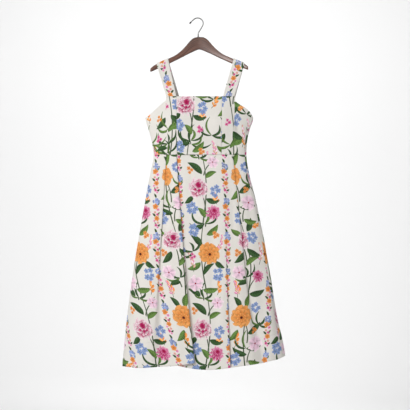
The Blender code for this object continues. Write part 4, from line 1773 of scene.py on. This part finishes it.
@dataclass
class Skirt:
    """The pleated, flared skirt: a front and a back with deep turned-up hems."""

    chart: PrintChart
    wall: float = 0.0013
    front_shift: tuple[float, float] = (-0.108, 0.0)
    back_shift: tuple[float, float] = (0.060, 0.250)

    def fold_points(self, fold: Fold, height: float, cloth_at: Callable) -> tuple[list[Vector], float]:
        """Control points of one pleat fold, left to right, and its step inwards.

        Args:
            fold: The fold.
            height: From 0 at the waist to 1 at the hem.
            cloth_at: Gives the cloth's point by x, step and hem.

        Returns:
            The points and the step.
        """
        x = through_three(fold.waist_x, fold.mid_x, fold.hem_x, height)
        tuck = through_three(fold.waist_tuck, fold.mid_tuck, fold.hem_tuck, height)
        step = through_three(fold.waist_step, fold.mid_step, fold.hem_step, height)
        edge, root = x, x - fold.facing * tuck
        folded = max(0.0, min(1.0, tuck / FULL_FOLD))
        top = cloth_at(edge, 0.0, fold.edge_hem)
        bottom = cloth_at(root, step, fold.root_hem)
        turned_edge = top.lerp(bottom, 1 / 3).lerp(cloth_at(edge, step / 2, fold.edge_hem), folded)
        turned_root = top.lerp(bottom, 2 / 3).lerp(cloth_at(root, step / 2, fold.root_hem), folded)
        points = [
            cloth_at(edge - fold.facing * FOLD_RUN, 0.0, fold.edge_hem),
            top,
            turned_edge,
            turned_edge.lerp(turned_root, 0.3),
            turned_edge.lerp(turned_root, 0.7),
            turned_root,
            bottom,
            cloth_at(root + fold.facing * FOLD_RUN, step, fold.root_hem),
        ]
        return points if fold.facing > 0 else points[::-1], step

    def path(self, height: float, side: Side) -> list[Vector]:
        """Control points of the front or back at a height from 0 at the waist to 1, left to right.

        Args:
            height: From 0 at the waist to 1 at the hem.
            side: Front or back.

        Returns:
            Points of x, y and how low the hem hangs under it.
        """
        out = side.value
        folds = FRONT_FOLDS if side is Side.FRONT else BACK_FOLDS
        stretches = FRONT_STRETCHES if side is Side.FRONT else BACK_STRETCHES
        hems = {"left": LEFT_HEM, "right": RIGHT_HEM, "front": MIDDLE_HEM, "back": MIDDLE_HEM}
        ring = Ring(
            *(smooth(SECTIONS, "z", key, WAIST_Z + (hem - WAIST_Z) * height) for key, hem in hems.items())
        )
        depth = ring.front if side is Side.FRONT else ring.back

        def cloth_at(x: float, step: float, hem: float) -> Vector:
            """The cloth's point at an x, a step further in, over a hem of that height."""
            across = math.cos(ring.turn(x))
            return Vector((x, out * (depth * across**ROUNDING - step * across**0.5), hem))

        def around(degrees: float, front: bool = side is Side.FRONT) -> Vector:
            """The cloth's point at an angle from the middle, near the side seams."""
            angle = math.radians(degrees)
            hem = LEFT_HEM if degrees < 0 else RIGHT_HEM - RIGHT_FALL * (1 - math.sin(angle))
            return Vector((*ring.point(angle if front else math.pi - angle), hem))

        groups = []
        leaves = []
        enters = [0.0]
        for fold in folds:
            points, step = self.fold_points(fold, height, cloth_at)
            groups.append(points)
            enters.append(step if fold.facing > 0 else 0.0)
            leaves.append(step if fold.facing < 0 else 0.0)
        leaves.append(0.0)
        starts = [around(-62)] + [group[-1] for group in groups]
        ends = [group[0] for group in groups] + [around(62)]
        path = [around(degrees) for degrees in (-90, -88, -83, -73, -62)]
        for i, (start, end, stretch) in enumerate(zip(starts, ends, stretches)):
            for k in range(1, STRETCH_POINTS + 1):
                share = k / (STRETCH_POINTS + 1)
                level = enters[i] + (leaves[i] - enters[i]) * share
                swell = stretch.swell * height * math.sin(math.pi * share)
                hem = through_three(start.z, stretch.hem, end.z, share)
                path.append(cloth_at(start.x + (end.x - start.x) * share, level - swell, hem))
            path += groups[i] if i < len(groups) else [end]
        if side is Side.FRONT:
            path += [around(degrees) for degrees in (68, RIGHT_SEAM - 2, RIGHT_SEAM)]
        else:
            path += [around(degrees) for degrees in (73, 83, 88, 90)]
            path += [around(degrees, True) for degrees in (83, RIGHT_SEAM + 2, RIGHT_SEAM)]
        for end, beside in ((0, 1), (-1, -2)):
            path[end] = path[end] + (path[beside] - path[end]).normalized() * SEAM_GAP / 2
        return path

    def piece(self, side: Side) -> ClothPiece:
        """The front or the back.

        Args:
            side: Which one.

        Returns:
            The piece.
        """
        length = WAIST_Z - MIDDLE_HEM
        hem_top = 1 - HEM_DEPTH / length
        near = [away / length for away in BESIDE_SEAM]
        hem_rows = [hem_top - 0.0025 / length, hem_top, hem_top + 0.0015 / length]
        heights = np.array(filled([0.0, *near, *hem_rows, 1.0], CELL / length))
        paths = np.array([self.path(height, side) for height in heights])
        longest = np.linalg.norm(np.diff(paths[..., :2], axis=1), axis=-1).max(0)
        places = [0.0]
        for k, span in enumerate(longest):
            parts = max(1, math.ceil(span / CELL))
            places += [k + (part + 1) / parts for part in range(parts)]
        last = len(longest)
        places = [0.0, 0.3, *places[1:-1], last - 0.3, last] if longest[0] > CELL else places
        places = sorted(set(places))
        spread = spline_matrix(paths.shape[1], places)
        surface = np.einsum("pk,rkc->rpc", spread, paths)
        top_z = WAIST_Z - SEAM_GAP / 2
        z = top_z + (surface[..., 2] - top_z) * heights[:, None]
        points = np.stack([surface[..., 0], surface[..., 1], z], axis=-1)
        middle = int(np.argmin(np.abs(np.array(places) - SKIRT_MIDDLE)))
        front = side is Side.FRONT
        if not front:
            points = points[:, ::-1]
            middle = points.shape[1] - 1 - middle
        cloth = laid_out(points, middle, self.front_shift if front else self.back_shift, WAIST_Z)
        creases = FRONT_CREASES if front else BACK_CREASES
        return ClothPiece(
            "skirt_front" if front else "skirt_back", creased(points, creases, 6 if front else 7), cloth,
            self.wall, self.chart, top=Border.SEAM, bottom=Border.HEM, left=Border.SEAM, right=Border.SEAM,
        )


@dataclass
class Strap:
    """A shoulder strap, cut along the print's garland, from the front's edge over the hanger to the back."""

    row: StrapRow
    chart: PrintChart
    wall: float = 0.0021
    band: float = BAND
    down: float = 0.0

    def over_arm(self, share: float, angle: float) -> Vector:
        """A point of the strap where it lies on the hanger's arm.

        Args:
            share: From 0 at the strap's inner edge to 1 at its outer one.
            angle: From 0 at the arm's front to a half turn at its back.

        Returns:
            The point.
        """
        row = self.row
        out = row.arm_in + (row.arm_out - row.arm_in) * share
        top = arm_top(row.side * out)
        fall = (top - arm_top(row.side * (out + ARM_STEP))) / ARM_STEP
        round_edge = Vector((0.0, -math.cos(angle), math.sin(angle)))
        outward = round_edge + Vector((row.side * fall * math.sin(angle), 0.0, 0.0))
        middle = Vector((row.side * out, arm_y(out), top - ARM_RADIUS))
        stand_off = STRAP_CLEARANCE + STRAP_WALL / 2
        return middle + ARM_RADIUS * round_edge + stand_off * outward.normalized()

    def base(self, share: float, front: bool) -> Vector:
        """A point of the strap's foot, on the bodice's top edge."""
        row = self.row
        inner, outer = (row.front_in, row.front_out) if front else (row.back_in, row.back_out)
        z = TOP_Z if front else BACK_TOP_Z
        turn = Ring.at(z).turn(row.side * (inner + (outer - inner) * share))
        return body_point(turn if front else math.pi - turn, z) + Vector((0.0, 0.0, SEAM_GAP))

    def piece(self) -> ClothPiece:
        """The strap's piece: its rows run from the front's foot up and over to the back's.

        Returns:
            The piece.
        """
        climb = filled([0.0, 0.01, 0.02, 0.92], CELL / 0.16)
        wrap = [math.pi * share / 20 for share in range(21)]
        shares = filled([0.0, 0.05, 0.95, 1.0], 0.1)
        shares = shares if self.row.side < 0 else shares[::-1]
        rows = []
        for share in climb:
            rows.append([self.base(s, True).lerp(self.over_arm(s, 0.0), share) for s in shares])
        for angle in wrap:
            rows.append([self.over_arm(s, angle) for s in shares])
        for share in reversed(climb):
            rows.append([self.base(s, False).lerp(self.over_arm(s, math.pi), share) for s in shares])
        points = np.array(rows)
        down = np.linalg.norm(np.diff(points, axis=0), axis=-1).mean(1)
        v = np.concatenate([[0.0], np.cumsum(down)])
        u = run_across(points)
        u = u - u[:, -1:] / 2
        cloth = np.stack([u + self.band, np.broadcast_to(self.down - v[:, None], u.shape)], axis=-1)
        return ClothPiece(
            self.row.name, points, cloth, self.wall, self.chart,
            left=Border.EDGE, right=Border.EDGE,
        )


# Each piece's cut of what shows, before it was sewn and hung: width, length and area of the flat cloth
Cut = namedtuple("Cut", "width length area")


@dataclass
class Dress:
    """The whole dress: bodice, skirt and straps in one printed cloth."""

    bands: PrintChart = field(default_factory=PrintChart)
    plants: PrintChart = field(default_factory=lambda: PrintChart(garlands=False))

    def pieces(self) -> list[ClothPiece]:
        """Every piece of the dress."""
        bodice = Bodice(self.plants)
        skirt = Skirt(self.bands)
        return [
            bodice.centre(),
            bodice.side(-1),
            bodice.side(1),
            bodice.back(),
            skirt.piece(Side.FRONT),
            skirt.piece(Side.BACK),
            Strap(STRAPS[0], self.bands, down=0.03).piece(),
            Strap(STRAPS[1], self.bands, down=0.24).piece(),
        ]

    def build(self) -> None:
        """Builds and dresses every piece."""
        face, reverse = PrintedCloth("printed_cloth_face"), PrintedCloth("printed_cloth_reverse", True)
        finishes = (face.material(), reverse.material())
        for piece in self.pieces():
            made = piece.build(finishes)
            log.info("%s: %d faces of cloth", made.name, len(made.data.polygons))


@dataclass(frozen=True)
class StainedWood:
    """Dark red-brown stained wood under a satin lacquer, its grain along the hanger's arms, with shade
    painted along its rounded rims.
    """

    dark: Colour = linear(62, 32, 22)
    light: Colour = linear(144, 96, 76)
    # How much the painted shade darkens the rounded rims, where they turn away from the light
    rim_shade: float = 0.55

    def material(self) -> bpy.types.Material:
        """The finish's material.

        Returns:
            A Principled material that reads the arms' own UV map and how near each rim is, where it paints
            shade on the rounded rims.
        """
        graph = Graph("stained_wood_grain")
        u, v, _ = graph.split(graph.uv("grain"))
        bend = graph.noise(graph.combine(graph.times(u, 9.0), v), 1.0)
        across = graph.scaled(bend, 0.010, v)
        bands = graph.noise(graph.combine(graph.times(u, 8.0), graph.times(across, 420.0)), 1.0, 3.0, 0.6)
        pores = graph.noise(graph.combine(graph.times(u, 90.0), graph.times(across, 2600.0)), 1.0)
        fine = graph.steps(pores, 0.56, 0.72)
        colour = graph.mix(graph.steps(bands, 0.28, 0.72), self.dark, self.light)
        colour = graph.shade(colour, graph.scaled(fine, -0.35, 1.0))
        rim, _, _ = graph.split(graph.attribute("rim"))
        # Painted shade and dark reflection on the rounded rims, stronger towards each edge
        painted_rim_shade = graph.steps(rim, 0.62, 0.96)
        colour = graph.shade(colour, graph.scaled(painted_rim_shade, -self.rim_shade, 1.0))
        graph.set("Base Color", colour)
        graph.set("Roughness", graph.scaled(graph.noise(graph.place(), 60.0), 0.14, 0.30))
        graph.set("Coat Weight", 1.0)
        graph.set("Coat Roughness", 0.24)
        graph.bump(graph.scaled(fine, -0.6, graph.times(bands, 0.4)), 0.25, 0.0003)
        return graph.material


@dataclass(frozen=True)
class BrushedWire:
    """Plain steel wire, drawn and lightly brushed."""

    colour: Colour = (0.25, 0.25, 0.245)

    def material(self) -> bpy.types.Material:
        """The finish's material.

        Returns:
            A Principled material on the Object coordinates.
        """
        graph = Graph("brushed_wire")
        streaks = graph.noise(graph.vector("MULTIPLY", graph.place(), (2600.0, 2600.0, 240.0)), 1.0)
        smudges = graph.noise(graph.place(), 120.0)
        graph.set("Base Color", graph.shade(self.colour, graph.scaled(smudges, 0.25, 0.86)))
        graph.set("Metallic", 1.0)
        graph.set("Roughness", graph.scaled(streaks, 0.16, 0.26))
        graph.bump(streaks, 0.12, 0.0001)
        return graph.material


@dataclass(frozen=True)
class DippedCap:
    """The dark soft plastic of the cap on the wire's end."""

    colour: Colour = linear(52, 50, 48)

    def material(self) -> bpy.types.Material:
        """The finish's material.

        Returns:
            A Principled material on the Object coordinates.
        """
        graph = Graph("dipped_cap")
        grain = graph.noise(graph.place(), 900.0)
        graph.set("Base Color", graph.shade(self.colour, graph.scaled(grain, 0.3, 0.85)))
        graph.set("Roughness", graph.scaled(grain, 0.12, 0.46))
        graph.bump(grain, 0.1, 0.0001)
        return graph.material


@dataclass
class Hanger:
    """The contoured wooden hanger with its wire hook, collar and dipped tip."""

    sides: int = 40
    station_step: float = 0.004
    face_power: float = 0.55
    rim_power: float = 0.80
    flat_until: float = 0.112
    round_from: float = 0.128
    wire_sides: int = 20
    hook_samples: int = 8

    def put(self, made: bpy.types.Object, node: str) -> None:
        """Lets a piece ride on the body in its node's place."""
        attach(made, "root")
        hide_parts(node)
        log.info("%s: %d faces", made.name, len(made.data.polygons))

    def arms(self) -> None:
        """The wooden bar: flat faces with rounded edges, thick in the middle, its arms swept forwards."""
        end = ARM[-1].out
        outs = filled([0.0, end - ARM_RADIUS / 2, end - 0.0012, end], self.station_step)
        stations = [-out for out in reversed(outs)] + outs[1:]
        bm = bmesh.new()
        loops = []
        for x in stations:
            out = abs(x)
            top, bottom = arm_top(x), arm_bottom(x)
            from_end = (end - out) / ARM_RADIUS
            round_end = math.sqrt(max(0.0, 1 - max(0.0, 1 - from_end * 2) ** 2)) if from_end < 0.5 else 1.0
            radius = min(ARM_RADIUS, (top - bottom) / 2) * (0.35 + 0.65 * round_end)
            loop = bmesh.ops.create_circle(bm, segments=self.sides, radius=radius)["verts"]
            flat = max(0.0, min(1.0, (self.round_from - out) / (self.round_from - self.flat_until)))
            for vertex in loop:
                across, height = (
                    math.copysign(radius * (abs(part) / radius) ** (1 + (power - 1) * flat), part)
                    for part, power in ((vertex.co.x, self.face_power), (vertex.co.y, self.rim_power))
                )
                middle = (top + bottom) / 2
                middle += ((top - radius if height > 0 else bottom + radius) - middle) * round_end
                vertex.co = Vector((CENTRE_X + x, DRESS_Y + arm_y(out) + across, middle + height))
            loops.append(loop)
        skin(bm, loops)
        grain = bm.loops.layers.uv.new("grain")
        for face in bm.faces:
            for loop in face.loops:
                x, y, z = loop.vert.co
                along = x - CENTRE_X
                middle = (arm_top(along) + arm_bottom(along)) / 2
                loop[grain].uv = (x * 1.2, z - middle + (y - DRESS_Y - arm_y(abs(along))) * 0.6)
        made = new_object("hanger_arms_wood", bm, StainedWood().material())
        # How near each rim a point lies, which the wood's painted rim shade reads
        rim = made.data.attributes.new("rim", "FLOAT_VECTOR", "POINT")
        for vertex in made.data.vertices:
            along = vertex.co.x - CENTRE_X
            top, bottom = arm_top(along), arm_bottom(along)
            share = abs(vertex.co.z - (top + bottom) / 2) * 2 / (top - bottom)
            rim.data[vertex.index].vector = (share, 0.0, 0.0)
        self.put(made, "hanger_arms")

    def route(self) -> list[Vector]:
        """The wire's centreline, from the collar up the stem, round the crown and down to the tip."""
        stem_foot = ARM[0].top + FERRULE_HEIGHT + 2 * SEAM_GAP
        stem = [(STEM_X, stem_foot), (STEM_X, STEM_TOP_Z), (STEM_X + 0.005, -0.052)]
        middle = Vector((0.0, WIRE - CROWN))
        arc = [
            middle + CROWN * Vector((math.cos(math.radians(turn)), math.sin(math.radians(turn))))
            for turn in (-28, 0, 28, 56, 90, 120, 145)
        ]
        tip = [(-0.0232, -0.0116), (-0.0262, -0.0148)]
        path = np.array([tuple(point) for point in (*stem, *arc, *tip)])
        places = [k / self.hook_samples for k in range((len(path) - 1) * self.hook_samples + 1)]
        return [Vector(point) for point in spline_matrix(len(path), places) @ path]

    def hook(self, finish: bpy.types.Material) -> None:
        """The bent wire.

        Args:
            finish: Its material.
        """
        route = self.route()
        bm = bmesh.new()
        loops = []
        for k, point in enumerate(route):
            ahead = (route[min(k + 1, len(route) - 1)] - route[max(k - 1, 0)]).normalized()
            loop = bmesh.ops.create_circle(bm, segments=self.wire_sides, radius=WIRE)["verts"]
            for vertex in loop:
                across, deep = vertex.co.x, vertex.co.y
                vertex.co = Vector((point.x + across * ahead.y, deep, point.y - across * ahead.x))
            loops.append(loop)
        skin(bm, loops)
        self.put(new_object("hanger_hook_wire", bm, finish), "hanger_hook")

    def collar(self, finish: bpy.types.Material) -> None:
        """The small metal collar that the wire's stem stands in, with a rolled foot.

        Args:
            finish: Its material.
        """
        foot = ARM[0].top + SEAM_GAP
        profile = (
            (0.0, 0.0), (1.0, 0.0), (1.06, 0.05), (1.04, 0.12), (0.90, 0.17), (0.84, 0.50),
            (0.80, 0.86), (0.74, 0.97), (0.66, 1.0), (0.0, 1.0),
        )
        bm = spun([(FERRULE_RADIUS * r, foot + FERRULE_HEIGHT * h) for r, h in profile], STEM_X, 28)
        self.put(new_object("hanger_collar", bm, finish), "hanger_ferrule")

    def tip(self) -> None:
        """The rounded cap on the wire's end."""
        route = self.route()
        ahead = (route[-1] - route[-2]).normalized()
        end = route[-1] + ahead * (SEAM_GAP + TIP_LENGTH / 2)
        bm = bmesh.new()
        bmesh.ops.create_cone(
            bm, cap_ends=True, segments=20, radius1=TIP_RADIUS, radius2=TIP_RADIUS * 0.85, depth=TIP_LENGTH
        )
        rims = [edge for edge in bm.edges if len({round(vertex.co.z, 6) for vertex in edge.verts}) == 1]
        bmesh.ops.bevel(
            bm, geom=rims, offset=TIP_RADIUS * 0.5, segments=4, profile=0.5, affect="EDGES", material=-1
        )
        for vertex in bm.verts:
            x, y, z = vertex.co
            vertex.co = Vector((end.x + x * ahead.y + z * ahead.x, y, end.y - x * ahead.x + z * ahead.y))
        bmesh.ops.recalc_face_normals(bm, faces=bm.faces)
        self.put(new_object("hanger_hook_cap", bm, DippedCap().material()), "hanger_hook_tip")

    def build(self) -> None:
        """Builds and dresses the whole hanger."""
        wire = BrushedWire().material()
        self.arms()
        self.hook(wire)
        self.collar(wire)
        self.tip()


@dataclass
class Studio:
    """A plain pale round sweep, soft light from the upper left and the photo's camera."""

    distance: float = 4.6
    sensor: float = 36.0
    floor_z: float = -2.30
    reach: float = 8.0
    corner: float = 2.4
    wall_top: float = 3.2
    tone: Colour = (0.80, 0.80, 0.80)
    surround: float = 0.40

    def sweep(self) -> None:
        """The floor, curving up on every side into a low wall."""
        graph = Graph("pale_sweep")
        faint = graph.noise(graph.place(), 1.4)
        graph.set("Base Color", graph.shade(self.tone, graph.scaled(faint, 0.01, 0.995)))
        graph.set("Roughness", 0.9)
        graph.set("Specular IOR Level", 0.1)
        profile = [(0.0, self.floor_z)]
        for k in range(13):
            angle = math.pi / 2 * k / 12
            out, rise = self.corner * math.sin(angle), self.corner * math.cos(angle)
            profile.append((self.reach - self.corner + out, self.floor_z + self.corner - rise))
        profile.append((self.reach, self.wall_top))
        bm = spun(profile, 0.0, 96)
        bmesh.ops.reverse_faces(bm, faces=bm.faces)
        new_object("pale_sweep", bm, graph.material)

    def lamp(self, name: str, at: tuple, size: float, power: float, aim: Vector = FRAME_MIDDLE) -> None:
        """A square soft light that the camera doesn't see.

        Args:
            name: Its name.
            at: Where it stands.
            size: How wide it is.
            power: Its power in watts.
            aim: What it faces.
        """
        data = bpy.data.lights.new(name, "AREA")
        data.shape = "SQUARE"
        data.size = size
        data.energy = power
        made = bpy.data.objects.new(name, data)
        made.location = at
        made.rotation_euler = (aim - Vector(at)).to_track_quat("-Z", "Y").to_euler()
        made.visible_camera = False
        bpy.context.scene.collection.objects.link(made)

    def camera(self) -> None:
        """The camera, level and square to the dress, as in the photo."""
        data = bpy.data.cameras.new("camera")
        data.sensor_width = self.sensor
        data.lens = self.sensor * self.distance / FRAME_WIDTH
        made = bpy.data.objects.new("camera", data)
        made.location = FRAME_MIDDLE + Vector((0.0, -self.distance, 0.0))
        made.rotation_euler = (math.pi / 2, 0.0, 0.0)
        bpy.context.scene.collection.objects.link(made)
        bpy.context.scene.camera = made

    def build(self) -> None:
        """Sets up the sweep, the lights, the surrounding light and the camera."""
        self.sweep()
        self.lamp("key", (-2.2, -3.0, 0.7), 1.1, 60.0)
        self.lamp("fill", (2.8, -3.4, -0.4), 2.4, 5.0)
        self.lamp("strip", (-1.35, -3.7, 0.40), 1.0, 36.0)
        self.lamp("back", (1.9, 3.3, 0.5), 2.2, 46.0)
        self.lamp("behind", (0.0, 4.2, 1.4), 3.0, 140.0, Vector((0.0, 8.0, -0.8)))
        world = bpy.data.worlds.new("studio")
        world.use_nodes = True
        background = world.node_tree.nodes["Background"].inputs
        background["Color"].default_value = (1.0, 1.0, 1.0, 1.0)
        background["Strength"].default_value = self.surround
        bpy.context.scene.world = world
        self.camera()
        bpy.context.scene.view_settings.view_transform = "Standard"


def main() -> None:
    """Builds the studio, the hanger and the dress."""
    logging.basicConfig(level=logging.INFO, format="%(name)s: %(message)s")
    Studio().build()
    Hanger().build()
    Dress().build()


if __name__ == "__main__":
    main()
